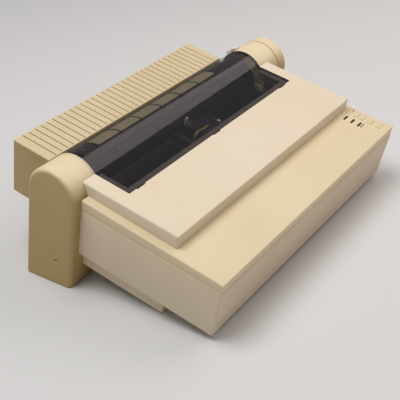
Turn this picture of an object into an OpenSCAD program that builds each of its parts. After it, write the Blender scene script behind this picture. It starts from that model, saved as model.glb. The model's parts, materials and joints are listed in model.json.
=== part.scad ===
/* [Case] */
// Width of the slab across the front
case_w = 392; // [380:1:410]
// Depth of the slab, measured along its own plane
case_d = 304; // [300:1:320]
// Forward lean of the slab on the table, the front being lower
lean = 13; // [12:0.5:14]
// Depth of the lower case below the seam
lower_h = 60.5; // [59:0.5:62]
// How much shallower the rear box is than the lower case
rear_rise = 2; // [0.5:0.5:4]
// Thickness of the top case at its front edge
top_front_h = 11; // [10:0.5:12]
// Thickness of the top case at the end housings
top_rear_h = 13.6; // [13:0.1:14.5]
// Width of the rear box, which is the gap between the end housings
rear_w = 335; // [330:1:345]
// Wall of the mouldings
wall = 2.8; // [2.2:0.1:3]
// Bevel along the outer edges
edge = 1; // [0.5:0.1:1.4]
// Lean of the front face of the lower case
front_draft = 1.6; // [0.5:0.1:2.5]

/* [Base pan] */
// Width of the pan under the slab
pan_w = 374; // [350:1:378]
// Distance of the pan behind the front seam
pan_y0 = 68; // [66:1:74]
// Distance of the pan's rear edge in front of the housings' rear edge
pan_back = 5; // [2:1:20]
// Depth of the pan below the lower case
pan_h = 21.5; // [19:0.5:23]
// Height of the pan's front edge above the table
pan_clear = 0.4; // [0.2:0.1:1]

/* [End housings] */
// How far the left housing stands out from the case side
house_left = 10; // [8:0.5:14]
// How far the right housing stands out from the case side
house_right = 11.7; // [8:0.5:14]
// Radius of the arched top
arch_r = 33; // [32.5:0.1:34]
// Distance of the arch axis in front of the rear wall
arch_back = 92; // [90:0.5:93]
// Height of the arch axis above the seam
arch_z = 4; // [4:0.1:5]
// Rounding of the housings' outer edges
house_round = 4.5; // [2:0.1:6]
// Thickness of the rubber under the housings
pad_h = 1.2; // [0.8:0.1:1.6]

/* [Rear deck] */
// Height of the deck above the seam
deck_h = 12; // [11:0.5:13]
// Height of the deck moulding itself
deck_t = 4; // [3:0.5:5]
// Number of slots across the deck
slot_count = 33; // [21:2:37]
// Distance between the slots
slot_pitch = 9.66; // [8:0.01:9.7]
// Width of one slot
slot_w = 1.2; // [1:0.1:2.5]
// Width of the paper opening between the smoked cover and the deck
paper_gap = 5; // [4.8:0.1:6]

/* [Covers] */
// Width of the front lid
lid_w = 371; // [366:1:376]
// Distance of the lid's front edge behind the front seam
lid_y0 = 64; // [62:1:70]
// Height of the lid's top above the seam
lid_top = 27; // [26:0.1:27.5]
// Wall of the lid
lid_wall = 2.4; // [2:0.1:2.8]
// Distance of the window's front edge in front of the arch axis
window_l = 70.5; // [66:0.5:74]
// Width of the ledge that carries the smoked cover's edge
ledge_w = 8.5; // [5:0.5:10]
// Thickness of the smoked cover
cover_t = 2; // [1.6:0.1:2.2]
// Thickness of the lid's arched arms
arm_t = 1.5; // [1.2:0.1:1.8]
// Length of each front tab of the smoked cover
tab_l = 14; // [10:1:18]
// Radius of the cover hinge pins
pin_r = 2; // [1.6:0.1:2.2]

/* [Controls] */
// Length of a key, across the slab
key_l = 13; // [10:0.5:14]
// Width of a key, along the slab
key_w = 6; // [5:0.1:6.6]
// Travel of a key
key_travel = 1.5; // [1:0.1:2]
// Height of a key above the panel
key_h = 1; // [0.6:0.1:1.6]
// Height of the raised end of the power rocker
rocker_h = 6; // [4:0.1:6.5]
// Length of an indicator window
led_l = 11.5; // [9:0.5:13]
// Width of an indicator window
led_w = 4; // [3:0.1:5]

/* [Platen] */
// Radius of the rubber platen
platen_r = 16; // [15.5:0.1:16.2]
// Radius of the platen shaft
shaft_r = 4; // [3.5:0.1:4.2]
// Width of the platen knob
knob_w = 18; // [15:0.5:22]
// Module of the feed gears
gear_m = 1; // [0.96:0.01:1.02]
// Face width of the feed gears
gear_w = 6.5; // [5:0.1:7]
// Radius of the paper bail rollers
bail_roller_r = 4; // [3.6:0.1:4.1]
// Radius of the pinch rollers under the platen
pinch_r = 5; // [4.5:0.1:5.2]

/* [Carriage] */
// Distance of the carriage from the middle of the case at rest
carriage_x = 10; // [0:1:14]
// Width of the carriage block
carriage_w = 66; // [56:1:66]
// Width of the ribbon cartridge
cartridge_w = 96; // [84:1:96]
// Radius of the carriage guide rod
rod_r = 5; // [4:0.1:5.4]
// Radius of the belt pulleys
pulley_r = 6.8; // [6:0.1:7]
// Thickness of the side plates of the chassis
plate_t = 2; // [1.5:0.1:2.2]

/* [Tractors] */
// Width of a tractor
tractor_w = 20; // [18:0.5:22]
// Distance from the middle of the case to a tractor's inner side
tractor_x = 92; // [80:1:100]
// Radius of a sprocket's drum
sprocket_r = 9; // [8.5:0.1:9.2]

/* [Hidden] */
$fn = 64;

// Clearances: between still and moving pieces, and of a running shaft
fit = 0.3;
run = 0.06;
far = 400;

// Colours
case_colour = "#d9cba0";
lid_colour = "#e2d6bc";
smoke_colour = "#4a4452";
rubber_colour = "#2b2b2b";
steel_colour = "#b9bcc0";
dark_colour = "#3c3f42";
brass_colour = "#c9a44c";
nylon_colour = "#ece8da";
board_colour = "#2f6b45";

// Places on the slab: x from its middle, y back from the front seam, z up from the seam plane
half_w = case_w/2;
arch_y = case_d - arch_back;
rear_h = lower_h - rear_rise;
window_y0 = arch_y - window_l;
seam_h = (lower_h + pan_h)*cos(lean) - pan_y0*sin(lean) + pan_clear;
rear_x = rear_w/2;
house_y0 = arch_y - arch_r;
house_y1 = arch_y + arch_r;
front_end = house_y0 - fit;
pan_y1 = house_y1 - pan_back;
pan_z = -lower_h - pan_h;
left_x = -half_w - house_left;
right_x = half_w + house_right;
knob_x0 = right_x + fit;
knob_x1 = knob_x0 + knob_w;
frame_y0 = house_y1 + fit;
deck_y0 = frame_y0 + paper_gap;
deck_z0 = deck_h - deck_t;

function slab_y(y, z) = y*cos(lean) - z*sin(lean);
function table_z(y, h) = (h - seam_h - y*sin(lean))/cos(lean);
function top_z(y) = top_front_h + (top_rear_h - top_front_h)*y/front_end;
function arch_point(r, a) = [arch_y + r*cos(a), arch_z + r*sin(a)];

shift_x = -(left_x + knob_x1)/2;
shift_y = -(slab_y(0, top_front_h - edge) + slab_y(case_d, -rear_h))/2;

// Covers
hinge_reach = arch_r - 5.5;
hinge_angle = 20;
hinge = arch_point(hinge_reach, hinge_angle);
hub_r = pin_r + 2.5;
arm_x1 = rear_x - fit;
arm_x0 = arm_x1 - arm_t;
arm_depth = 6;
cover_x = arm_x0 - fit;
cover_r = arch_r - 0.4;
cover_top = lid_top - 0.2;
cover_ear = 2.4;
cover_end_angle = 17;
tab_reach = 1.5;
tab_x = [-147, -5, 145];
bay_y0 = lid_y0 + 16;
bay_x = rear_x - wall;
lid_bottom_gap = 0.2;
lid_back = 14;
ledge_t = 2.2;
ledge_z = cover_top - cover_t - fit;

// Controls, in a column at the right end of the front panel
key_x1 = half_w - 6;
key_x0 = key_x1 - key_l;
key_ys = [47, 38.5, 27, 14];
rocker_y = 57;
key_gap = 0.25;
led_x1 = key_x0 - 5.5;
led_x0 = led_x1 - led_l;
led_ys = [54, 44, 34.3];
thin_led_y = 30.3;
thin_led_w = 1.6;
board_t = 1.6;
control_z = -8;
key_foot_z = control_z + board_t + 2.5 + key_travel;
rocker_z = top_front_h - 2.5;
rocker_pin_r = 1.5;

// Chassis and feed gears
gear_x0 = -(rear_x - wall - 0.4);
gear_x1 = gear_x0 + gear_w;
plate_x1 = -gear_x1 - 0.8;
plate_x0 = plate_x1 - plate_t;
plate_y0 = arch_y - 117;
plate_y1 = case_d - 23;
base_z = -lower_h + 10.5;
base_t = 1.5;
base_top = base_z + base_t;
boss_r = 4;
screw_r = 1.5;
chassis_screw_x = 120;
chassis_screws = [for (y = [plate_y0 + 13, arch_y - 22, plate_y1 - 7], x = [-chassis_screw_x, chassis_screw_x]) [x, y]];
pan_screw_y0 = pan_y0 + 12;
pan_screw_y1 = arch_y + 14;
pan_screws = [[22 - pan_w/2, pan_screw_y0], [pan_w/2 - 22, pan_screw_y0], [17.5 - rear_x, pan_screw_y1],
    [rear_x - 17.5, pan_screw_y1]];
platen_x = plate_x0 - 7;
platen_teeth = 40;
idler_teeth = 32;
tractor_teeth = 24;
pinion_teeth = 12;
backlash = 0.2;
mesh_gap = 0.05;
drive_h = 18.55;
pinion_angle = -90;
stud_r = 3;

function centre_distance(a, b) = gear_m*(a + b)/2 + mesh_gap;
idler_reach = centre_distance(platen_teeth, idler_teeth);
tractor_reach = idler_reach + centre_distance(idler_teeth, tractor_teeth);
train_angle = -asin((arch_z - base_top - drive_h)/tractor_reach);
idler_at = arch_point(idler_reach, train_angle);
drive_at = arch_point(tractor_reach, train_angle);
motor_at = arch_point(centre_distance(platen_teeth, pinion_teeth), pinion_angle);

// A gear is turned so that its gap faces the tooth of the gear it meets in direction dir
function turn_to_mesh(n_a, turn_a, dir, n_b) =
    let (part = (dir - turn_a)*n_a/360) dir + 180 + (part - floor(part) + 0.5)*360/n_b;
idler_turn = turn_to_mesh(platen_teeth, 0, train_angle, idler_teeth);
tractor_turn = turn_to_mesh(idler_teeth, idler_turn, train_angle, tractor_teeth);
pinion_turn = turn_to_mesh(platen_teeth, 0, pinion_angle, pinion_teeth);

motor_r = 20.5;
motor_l = 24;
motor_flange = 2.5;
motor_boss_r = 11;

// Paper path
bail_angle = 125;
bail_at = arch_point(platen_r + bail_roller_r + fit, bail_angle);
bail_pivot = [arch_y - 6, arch_z - 16];
bail_rod_r = 2;
bail_rollers_x = [-105, -35, 35, 105];
bail_roller_l = 12;
bail_arm_t = 2.5;
bail_arm_x0 = platen_x + 2;
pinch_at = [arch_y, arch_z - platen_r - pinch_r - fit];
pinch_shaft_r = 2;
pinch_roller_l = 30;
guide_t = 2;
guide_rib = 0.7;
guide_r = cover_r - cover_t - fit - guide_rib - guide_t - 0.4;
guide_low = 36;
guide_high = 97;
guide_leg_y = arch_y + 20;
guide_foot_z = -8;
lobe_r = 25;
rib_pitch = 37;
rib_x0 = -120;
pan_r = platen_r + 1.6;

// Carriage
rod_at = [arch_y - 40, base_top + 28.5];
rail_y = arch_y - 84;
rail_t = 3;
rail_top = base_top + 18.5;
block_y0 = rail_y - 1.5;
block_y1 = rod_at[0] + 14;
block_z0 = rail_top;
block_z1 = rod_at[1] + 11;
head_w = 34;
head_y0 = arch_y - 60;
head_top = 17;
nose_w = 10;
nose_y = arch_y - platen_r - 1.8;
cartridge_y0 = arch_y - 106;
cartridge_y1 = arch_y - 62;
cartridge_h = 16;
horn_x = 27;
horn_w = 7;
shelf_t = 3;
// the cable leaves the top of the head, loops over its left flank and lands on the carriage
flex_r = 9.6;
flex_t = 0.8;
flex_at = [-head_w/2 + 0.5, head_top - 7];
flex_y0 = head_y0 + 10;
flex_y1 = head_y0 + 13;
shield_x0 = -5.5;
shield_x1 = -0.5;
belt_y0 = arch_y - 93.5;
belt_w = 6;
belt_z = base_top + 16.5;
belt_t = 1.2;
belt_r = pulley_r + 0.2;
pulley_x = 136;
pulley_shaft_r = 2;
tab_t = 1.5;
motor_tab_y = belt_y0 - fit - tab_t - 1;
carriage_motor_r = 15.5;
carriage_motor_l = 20;
gap_pivot = [arch_y - 62, -15];

// Tractors
tractor_front = 24.3;
tractor_back = 13.7;
tractor_under = 16;
tractor_over = 9.3;
tractor_y0 = drive_at[0] - tractor_front;
tractor_y1 = drive_at[0] + tractor_back;
tractor_z0 = drive_at[1] - tractor_under;
tractor_z1 = drive_at[1] + tractor_over;
guide_shaft_at = [drive_at[0] - tractor_front + 6, drive_at[1] - tractor_under + 6];
guide_shaft_r = 3;
hex_r = 3.7;
sprocket_l = 9;
sprocket_pin_r = 0.9;
sprocket_tip = sprocket_r + 2;
flap_z = tractor_z1 + 1.9;
flap_t = 1.8;
flap_barrel_r = 1.6;
flap_pin_r = 0.8;

// Rear panel
inlet_w = 28;
inlet_h = 21;
inlet_d = 18;
inlet_x = -rear_x + 41.5;
inlet_z = -rear_h + 18.5;
slot_z = inlet_z + inlet_h/2 + 5.5;
slot_h = 10;
paper_w = 250;
socket_x = rear_x - 47.5;
socket_z = inlet_z;
socket_r = 7;

// Electrics
coil_w = 40;
coil_l = 52;
core_w = 56;
core_l = 40;
core_h = 44;
core_gap = 18;
main_board_w = 240;
main_board_x0 = -130;
main_board_gap = 16;
chip_w = 28;
chip_l = 12;
chip_h = 5;

module in_slab() translate([shift_x, shift_y, seam_h]) rotate([lean, 0, 0]) children();
module along_x(x0, x1) translate([x0, 0, 0]) rotate([90, 0, 90]) linear_extrude(x1 - x0) children();
module along_y(y0, y1) translate([0, y1, 0]) rotate([90, 0, 0]) linear_extrude(y1 - y0) children();
module bar_x(x0, x1, at, r) translate([x0, at[0], at[1]]) rotate([0, 90, 0]) cylinder(h = x1 - x0, r = r);
module bar_y(y0, y1, x, z, r) translate([x, y1, z]) rotate([90, 0, 0]) cylinder(h = y1 - y0, r = r);
module bar_z(x, y, z0, z1, r) translate([x, y, z0]) cylinder(h = z1 - z0, r = r);
module box(x0, x1, y0, y1, z0, z1) translate([x0, y0, z0]) cube([x1 - x0, y1 - y0, z1 - z0]);
module both_ends() {
    children();
    mirror([1, 0, 0]) children();
}

// Ring sector about the arch axis; angles count from straight back, upwards
module sector(r0, r1, a0, a1)
    translate([arch_y, arch_z]) intersection() {
        difference() {
            circle(r1);
            circle(r0);
        }
        polygon(concat([[0, 0]], [for (i = [0 : 4]) let (a = a0 + (a1 - a0)*i/4) [3*r1*cos(a), 3*r1*sin(a)]]));
    }

// Involute gear outline with a tooth at the angle turn
module gear_outline(n, turn) {
    pitch = n*gear_m/2;
    base = pitch*cos(20);
    root = pitch - 1.15*gear_m;
    tip = pitch + 0.85*gear_m;
    start = max(base + 0.01, root);
    function roll(r) = let (a = acos(base/r)) tan(a)*180/PI - a;
    function half(r) = 90/n - backlash*90/(PI*pitch) + roll(pitch) - roll(r);
    radii = [start, (start + tip)/2, tip];
    polygon([for (k = [0 : n - 1]) let (c = turn + 360*k/n)
        each concat([[root*cos(c - half(start)), root*sin(c - half(start))]],
            [for (r = radii) [r*cos(c - half(r)), r*sin(c - half(r))]],
            [for (i = [2 : -1 : 0]) let (r = radii[i]) [r*cos(c + half(r)), r*sin(c + half(r))]],
            [[root*cos(c + half(start)), root*sin(c + half(start))]])]);
}

module gear(n, turn, at, bore)
    along_x(gear_x0, gear_x1) translate(at) difference() {
        gear_outline(n, turn);
        circle(bore);
    }

// Case
module lower_case() color(case_colour) in_slab() difference() {
    union() {
        difference() {
            union() {
                along_x(-half_w, half_w) polygon([[0, 0], [front_draft, -lower_h], [front_end, -lower_h],
                    [front_end, 0]]);
                box(-rear_x, rear_x, front_end - wall, case_d, -rear_h, 0);
            }
            box(-half_w + wall, half_w - wall, front_draft + wall, front_end - wall, -lower_h + wall, 1);
            box(-rear_x + wall, rear_x - wall, front_end - 2*wall, case_d - wall, -rear_h + wall, 1);
        }
        for (p = chassis_screws) bar_z(p[0], p[1], (p[1] < front_end ? -lower_h : -rear_h) + 1, base_z, boss_r);
        for (p = pan_screws) bar_z(p[0], p[1], -lower_h, -lower_h + 9, boss_r);
    }
    for (p = chassis_screws) bar_z(p[0], p[1], base_z - 6, base_z + 1, screw_r);
    for (p = pan_screws) bar_z(p[0], p[1], -lower_h - 1, -lower_h + 7, screw_r);
    // platen shaft notch, motor register, paper slot, sockets and the wire hole to the pan
    bar_x(rear_x - wall - 1, rear_x + 1, [arch_y, arch_z], shaft_r + 3);
    bar_x(-rear_x - 1, -rear_x + wall + 1, motor_at, motor_boss_r + run);
    box(-paper_w/2, paper_w/2, case_d - wall - 1, case_d + 1, slot_z, slot_z + slot_h);
    box(inlet_x - inlet_w/2, inlet_x + inlet_w/2, case_d - wall - 1, case_d + 1,
        inlet_z - inlet_h/2, inlet_z + inlet_h/2);
    bar_y(case_d - wall - 1, case_d + 1, socket_x, socket_z, socket_r);
    box(-18, 18, pan_y0 + 6, pan_y0 + 22, -lower_h - 1, -lower_h + wall + 1);
}

module top_case() color(case_colour) in_slab() {
    difference() {
        along_x(-half_w, half_w) polygon([[0, 0], [0, top_front_h - edge], [edge, top_z(edge)],
            [front_end, top_rear_h], [front_end, 0]]);
        along_x(-half_w + wall, half_w - wall) polygon([[wall, -1], [wall, top_front_h - wall],
            [front_end - wall, top_rear_h - wall], [front_end - wall, -1]]);
        box(-bay_x, bay_x, bay_y0, front_end + 1, -1, far);
        for (y = key_ys)
            box(key_x0 - key_gap, key_x1 + key_gap, y - key_w/2 - key_gap, y + key_w/2 + key_gap, 0, far);
        box(key_x0 - key_gap, key_x1 + key_gap, rocker_y - key_w/2 - key_gap, rocker_y + key_w/2 + key_gap,
            0, far);
        for (y = led_ys) box(led_x0, led_x1, y - led_w/2, y + led_w/2, 0, far);
        box(led_x0, led_x1, thin_led_y - thin_led_w/2, thin_led_y + thin_led_w/2, 0, far);
    }
    // posts that hold the control board
    for (p = board_posts())
        bar_z(p[0], p[1], control_z + board_t, top_front_h - wall + 1, 2.2);
}

function board_posts() = [[led_x0 - 5, 12], [led_x0 - 5, 58], [key_x0 - 3, 20.5]];

// The pan is as wide as pan_w in front of the housings and fits between them behind
module pan_block(t, z0, z1) {
    box(-pan_w/2 + t, pan_w/2 - t, pan_y0 + t, front_end - t, z0, z1);
    box(-rear_x + t, rear_x - t, front_end - t - 1, pan_y1 - t, z0, z1);
}

module base_pan() color(case_colour) in_slab() difference() {
    union() {
        difference() {
            union() {
                pan_block(0, pan_z, -lower_h);
                box(-rear_x, rear_x, front_end, pan_y1, -lower_h - 1, -rear_h);
            }
            pan_block(wall, pan_z + wall, 0);
        }
        for (p = pan_screws) bar_z(p[0], p[1], pan_z + 1, -lower_h, boss_r);
        for (p = main_board_posts()) bar_z(p[0], p[1], pan_z + 1, main_board_z(), 3);
    }
    for (p = pan_screws) {
        bar_z(p[0], p[1], pan_z - 1, 0, screw_r);
        bar_z(p[0], p[1], pan_z - 1, pan_z + wall + 1, 2*screw_r);
    }
}

function main_board_z() = pan_z + wall + 4;
function main_board_posts() =
    [for (y = [pan_y0 + main_board_gap + 8, pan_y1 - main_board_gap - 8],
        x = [main_board_x0 + 10, main_board_x0 + main_board_w - 10]) [x, y]];

module rear_frame() color(case_colour) in_slab() difference() {
    box(-rear_x, rear_x, frame_y0, case_d, 0, deck_z0);
    box(-rear_x + wall, rear_x - wall, frame_y0 - 1, deck_y0, -1, far);
    box(-rear_x + wall, rear_x - wall, deck_y0 + wall, case_d - wall, -1, far);
}

module rear_deck() color(case_colour) in_slab() difference() {
    along_x(-rear_x, rear_x) polygon([[deck_y0, deck_z0], [deck_y0, deck_h - edge], [deck_y0 + edge, deck_h],
        [case_d - edge, deck_h], [case_d, deck_h - edge], [case_d, deck_z0]]);
    box(-rear_x + wall, rear_x - wall, deck_y0 + wall, case_d - wall, deck_z0 - 1, deck_h - 2.4);
    for (i = [0 : slot_count - 1])
        translate([(i - (slot_count - 1)/2)*slot_pitch, 0, 0])
            box(-slot_w/2, slot_w/2, deck_y0 + 1.4, case_d - 1.4, deck_z0 - 1, far);
}

// Side view of a housing: an arch over a pillar that is cut off level with the table
module housing_outline(inset) {
    foot = pad_h + inset;
    translate([arch_y, arch_z]) circle(arch_r - inset);
    polygon([[house_y0 + inset, arch_z], [house_y1 - inset, arch_z],
        [house_y1 - inset, table_z(house_y1 - inset, foot)], [house_y0 + inset, table_z(house_y0 + inset, foot)]]);
}

// Section of a left housing with its outer corners rounded: u runs across it, v up or out
module rounded_end(x0, u0, u1) {
    translate([u0, x0 + house_round]) square([u1 - u0, -rear_x - x0 - house_round]);
    translate([u0 + (u0 > 0 ? house_round : 0), x0])
        square([u1 - u0 - (u0 > 0 ? 2 : 1)*house_round, house_round + 1]);
    translate([u1 - house_round, x0 + house_round]) circle(house_round);
    if (u0 > 0) translate([u0 + house_round, x0 + house_round]) circle(house_round);
}

// A left housing, with its inner side open to the lower case
module end_housing(proud) difference() {
    x0 = -half_w - proud;
    union() {
        translate([0, arch_y, arch_z]) rotate([0, 90, 0]) rotate_extrude() rounded_end(x0, 0, arch_r);
        mirror([0, 0, 1]) translate([0, 0, -arch_z]) rotate([0, 0, 90]) mirror([0, 1, 0]) linear_extrude(far)
            rounded_end(x0, house_y0, house_y1);
    }
    along_x(-far, far) polygon([[0, table_z(0, pad_h)], [far, table_z(far, pad_h)], [far, -far], [0, -far]]);
    along_x(x0 + wall, -rear_x - wall) housing_outline(wall);
    box(-rear_x - wall - 1, -rear_x + 1, house_y0 + 2*wall, house_y1 - 2*wall, -rear_h + 2*wall, -0.6);
    both_pins();
    // screw dimple low on the outer side
    bar_x(x0 - 1, x0 + 1.8, [arch_y - 11, -79], 2.4);
}

module both_pins() bar_x(-rear_x - wall, -rear_x + 1, hinge, pin_r);

module left_end_housing() color(case_colour) in_slab() end_housing(house_left);

lever_x = rear_x + wall + 2;
lever_t = 3;
lever_hub_l = 8;
lever_angle = 44;
lever_swing = 25;

module right_end_housing() color(case_colour) in_slab() difference() {
    union() {
        mirror([1, 0, 0]) end_housing(house_right);
        bar_x(rear_x + wall - 1, lever_x + lever_hub_l + 2, [arch_y, arch_z], shaft_r + 3);
    }
    bar_x(rear_x - 1, knob_x0, [arch_y, arch_z], shaft_r + run);
    along_x(lever_x + 1 - fit, lever_x + 1 + lever_t + fit)
        sector(arch_r - wall - 1, arch_r + 1, lever_angle - lever_swing - 9, lever_angle + 9);
}

module cover_hinge_pins() color(steel_colour) in_slab()
    both_ends() bar_x(-rear_x - wall, -cover_x + cover_ear - 0.2, hinge, pin_r);

// Covers
module arm_outline() difference() {
    union() {
        sector(arch_r - arm_depth, arch_r, hinge_angle, 160);
        translate(hinge) circle(hub_r);
    }
    translate(hinge) circle(pin_r + run);
}

module front_lid() color(lid_colour) in_slab() {
    difference() {
        along_x(-lid_w/2, lid_w/2) polygon([[lid_y0, top_z(lid_y0) + lid_bottom_gap], [lid_y0, lid_top - edge],
            [lid_y0 + edge, lid_top], [arch_y, lid_top], [arch_y, top_rear_h + lid_bottom_gap],
            [front_end, top_rear_h + lid_bottom_gap]]);
        bar_x(-far, far, [arch_y, arch_z], arch_r + fit);
        box(-far, far, arch_y - arch_r/2, far, 0, far);
        along_x(-lid_w/2 + lid_wall, lid_w/2 - lid_wall) polygon([[lid_y0 + lid_wall, 0],
            [lid_y0 + lid_wall, lid_top - lid_wall], [window_y0 - 2, lid_top - lid_wall],
            [window_y0, ledge_z - ledge_t], [front_end - lid_back + 8, ledge_z - ledge_t],
            [front_end - lid_back + 8, 0]]);
        box(-arm_x0, arm_x0, window_y0, far, ledge_z, far);
        box(ledge_w - arm_x0, arm_x0 - ledge_w, window_y0 + ledge_w, far, 0, far);
        for (x = tab_x) box(x - tab_l/2 - fit, x + tab_l/2 + fit, window_y0 - tab_reach - fit, window_y0 + 1,
            cover_top - cover_t - fit, far);
    }
    both_ends() along_x(arm_x0, arm_x1) union() {
        arm_outline();
        polygon([[front_end - lid_back, top_rear_h + lid_bottom_gap], [front_end - lid_back, lid_top - lid_wall],
            arch_point(arch_r - 1, 137), arch_point(arch_r - arm_depth, 150), arch_point(arch_r - 1, 161)]);
    }
}

module cover_outline() {
    flat_end = arch_y - sqrt(pow(cover_r, 2) - pow(cover_top - arch_z, 2));
    flat_end_in = arch_y - sqrt(pow(cover_r - cover_t, 2) - pow(cover_top - cover_t - arch_z, 2));
    front_angle = 180 - asin((cover_top - arch_z)/cover_r);
    sector(cover_r - cover_t, cover_r, cover_end_angle, front_angle);
    polygon([[window_y0 + fit, cover_top - cover_t], [window_y0 + fit, cover_top], [flat_end, cover_top],
        arch_point(cover_r - cover_t/2, front_angle - 2), arch_point(cover_r - cover_t, front_angle - 2),
        [flat_end_in, cover_top - cover_t]]);
}

module smoked_cover() color(smoke_colour) in_slab() difference() {
    union() {
        along_x(-cover_x, cover_x) cover_outline();
        both_ends() bar_x(-cover_x, -cover_x + cover_ear, hinge, hub_r - 0.3);
        for (x = tab_x) box(x - tab_l/2, x + tab_l/2, window_y0 - tab_reach, window_y0 + 1,
            cover_top - cover_t, cover_top);
    }
    both_ends() bar_x(-cover_x - 1, -cover_x + cover_ear + 0.1, hinge, pin_r + run);
}

// Rubber feet: pads under the housings, and wedges under the front of the pan
module rubber_feet() color(rubber_colour) {
    pad_y0 = slab_y(house_y0, table_z(house_y0, 0)) + shift_y + 8;
    pad_y1 = slab_y(house_y1, table_z(house_y1, 0)) + shift_y - 8;
    for (x = [[left_x + 5, -rear_x - 5], [rear_x + 5, right_x - 5]])
        box(x[0] + shift_x, x[1] + shift_x, pad_y0, pad_y1, 0, pad_h);
    foot_y = slab_y(pan_y0 + 14, pan_z) + shift_y;
    for (x = [-pan_w/2 + 30, pan_w/2 - 30]) difference() {
        translate([x + shift_x, foot_y, 0]) cylinder(h = 16, r = 9);
        in_slab() box(-far, far, -far, far, pan_z, far);
    }
}

// Controls
module key(y) color(case_colour) in_slab() {
    box(key_x0, key_x1, y - key_w/2, y + key_w/2, key_foot_z + 4, top_z(y) + key_h);
    box(key_x0 + 4, key_x1 - 4, y - 1.5, y + 1.5, key_foot_z, key_foot_z + 5);
}

module select_key() key(key_ys[0]);
module line_feed_key() key(key_ys[1]);
module form_feed_key() key(key_ys[2]);
module print_quality_key() key(key_ys[3]);

module power_rocker() color("#e8e3d2") in_slab() {
    xm = (key_x0 + key_x1)/2;
    z = top_z(rocker_y);
    along_y(rocker_y - key_w/2, rocker_y + key_w/2) polygon([[key_x0 + 0.6, rocker_z - 2], [key_x0 + 0.6, z],
        [xm, z + 0.4], [key_x1 - 2.4, z + rocker_h], [key_x1 - 1, z + rocker_h], [key_x1 - 1, rocker_z - 2]]);
    bar_y(rocker_y - key_w/2 - key_gap + 0.05, rocker_y + key_w/2 + key_gap - 0.05, xm, rocker_z, rocker_pin_r);
}

module indicator_windows() color("#3a3420") in_slab() {
    for (y = led_ys) box(led_x0, led_x1, y - led_w/2, y + led_w/2, top_z(y) - wall, top_z(y) - 0.4);
    box(led_x0, led_x1, thin_led_y - thin_led_w/2, thin_led_y + thin_led_w/2, top_z(thin_led_y) - wall,
        top_z(thin_led_y) - 0.4);
}

module control_board() color(board_colour) in_slab() {
    box(led_x0 - 9, key_x1 + 1, 8, rocker_y + 6, control_z, control_z + board_t);
    for (y = key_ys) box(key_x0 + 3, key_x1 - 3, y - 2.5, y + 2.5, control_z + board_t - 0.1,
        key_foot_z - key_travel - fit);
    box(key_x0 + 1, key_x1 - 1, rocker_y - 2.8, rocker_y + 2.8, control_z + board_t - 0.1, rocker_z - 6);
    for (y = led_ys) box(led_x0 + 3, led_x1 - 3, y - 1.2, y + 1.2, control_z + board_t - 0.1, top_z(y) - wall);
}

// Levers
module paper_release_lever() color("#f0ede2") in_slab() {
    difference() {
        bar_x(lever_x, lever_x + lever_hub_l, [arch_y, arch_z], shaft_r + 7);
        bar_x(lever_x - 1, lever_x + lever_hub_l + 1, [arch_y, arch_z], shaft_r + 3 + run);
    }
    along_x(lever_x + 1, lever_x + 1 + lever_t) sector(shaft_r + 5, arch_r + 3, lever_angle - 6, lever_angle + 6);
    along_x(rear_x + 1, lever_x + 8) sector(arch_r + 1.4, arch_r + 3.8, lever_angle - 14, lever_angle + 14);
}

module head_gap_lever() color(nylon_colour) in_slab() difference() {
    union() {
        bar_x(plate_x1 + 1.5, plate_x1 + 4.5, gap_pivot, 6);
        along_x(plate_x1 + 1.5, plate_x1 + 4.5) polygon([[gap_pivot[0] - 4, gap_pivot[1]],
            [gap_pivot[0] - 3, lid_top - 11], [gap_pivot[0] + 3, lid_top - 11], [gap_pivot[0] + 4, gap_pivot[1]]]);
    }
    bar_x(plate_x1, plate_x1 + 6, gap_pivot, stud_r + run);
}

// Chassis
module chassis_base() color(steel_colour) in_slab() difference() {
    union() {
        box(-plate_x1, plate_x1, plate_y0, plate_y1, base_z, base_top);
        box(-plate_x0, plate_x0, rail_y, rail_y + rail_t, base_top - 0.1, rail_top);
        box(-plate_x0, -pulley_x + 14, motor_tab_y, motor_tab_y + tab_t, base_top - 0.1, belt_z + 16);
        box(pulley_x - 8, pulley_x + 8, motor_tab_y, motor_tab_y + tab_t, base_top - 0.1, belt_z + 8);
        bar_y(motor_tab_y, belt_y0 + belt_w, pulley_x, belt_z, pulley_shaft_r);
    }
    for (p = chassis_screws) bar_z(p[0], p[1], base_z - 1, base_top + 1, screw_r);
    bar_y(motor_tab_y - 1, motor_tab_y + tab_t + 1, -pulley_x, belt_z, pulley_shaft_r + 1);
}

module plate_outline() difference() {
    union() {
        polygon([[plate_y0, base_top], [plate_y0, -12], [plate_y0 + 20, -2], [plate_y1, -2], [plate_y1, base_top]]);
        translate([arch_y, arch_z]) circle(lobe_r);
    }
    translate([arch_y, arch_z]) circle(shaft_r + 3);
    translate(rod_at) circle(rod_r);
    translate(pinch_at) circle(pinch_shaft_r + run);
    translate(drive_at) circle(guide_shaft_r + run);
    translate(guide_shaft_at) circle(guide_shaft_r);
}

module bail_stud() bar_x(-plate_x0 - 0.1, -bail_arm_x0 + fit, bail_pivot, bail_rod_r);

module left_chassis_plate() color(steel_colour) in_slab() {
    along_x(-plate_x1, -plate_x0) plate_outline();
    bar_x(gear_x0, -plate_x1 + 0.1, idler_at, stud_r);
    bail_stud();
}

module right_chassis_plate() color(steel_colour) in_slab() {
    along_x(plate_x0, plate_x1) plate_outline();
    bar_x(plate_x1 - 0.1, plate_x1 + 6, gap_pivot, stud_r);
    mirror([1, 0, 0]) bail_stud();
}

module carriage_guide_rod() color(steel_colour) in_slab() bar_x(-plate_x1, plate_x1, rod_at, rod_r);

// Platen and paper feed
module platen() color(rubber_colour) in_slab() difference() {
    bar_x(-platen_x, platen_x, [arch_y, arch_z], platen_r);
    bar_x(-platen_x - 1, platen_x + 1, [arch_y, arch_z], shaft_r);
}

module platen_shaft() color(steel_colour) in_slab() bar_x(gear_x0, knob_x1 - 5, [arch_y, arch_z], shaft_r);

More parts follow.
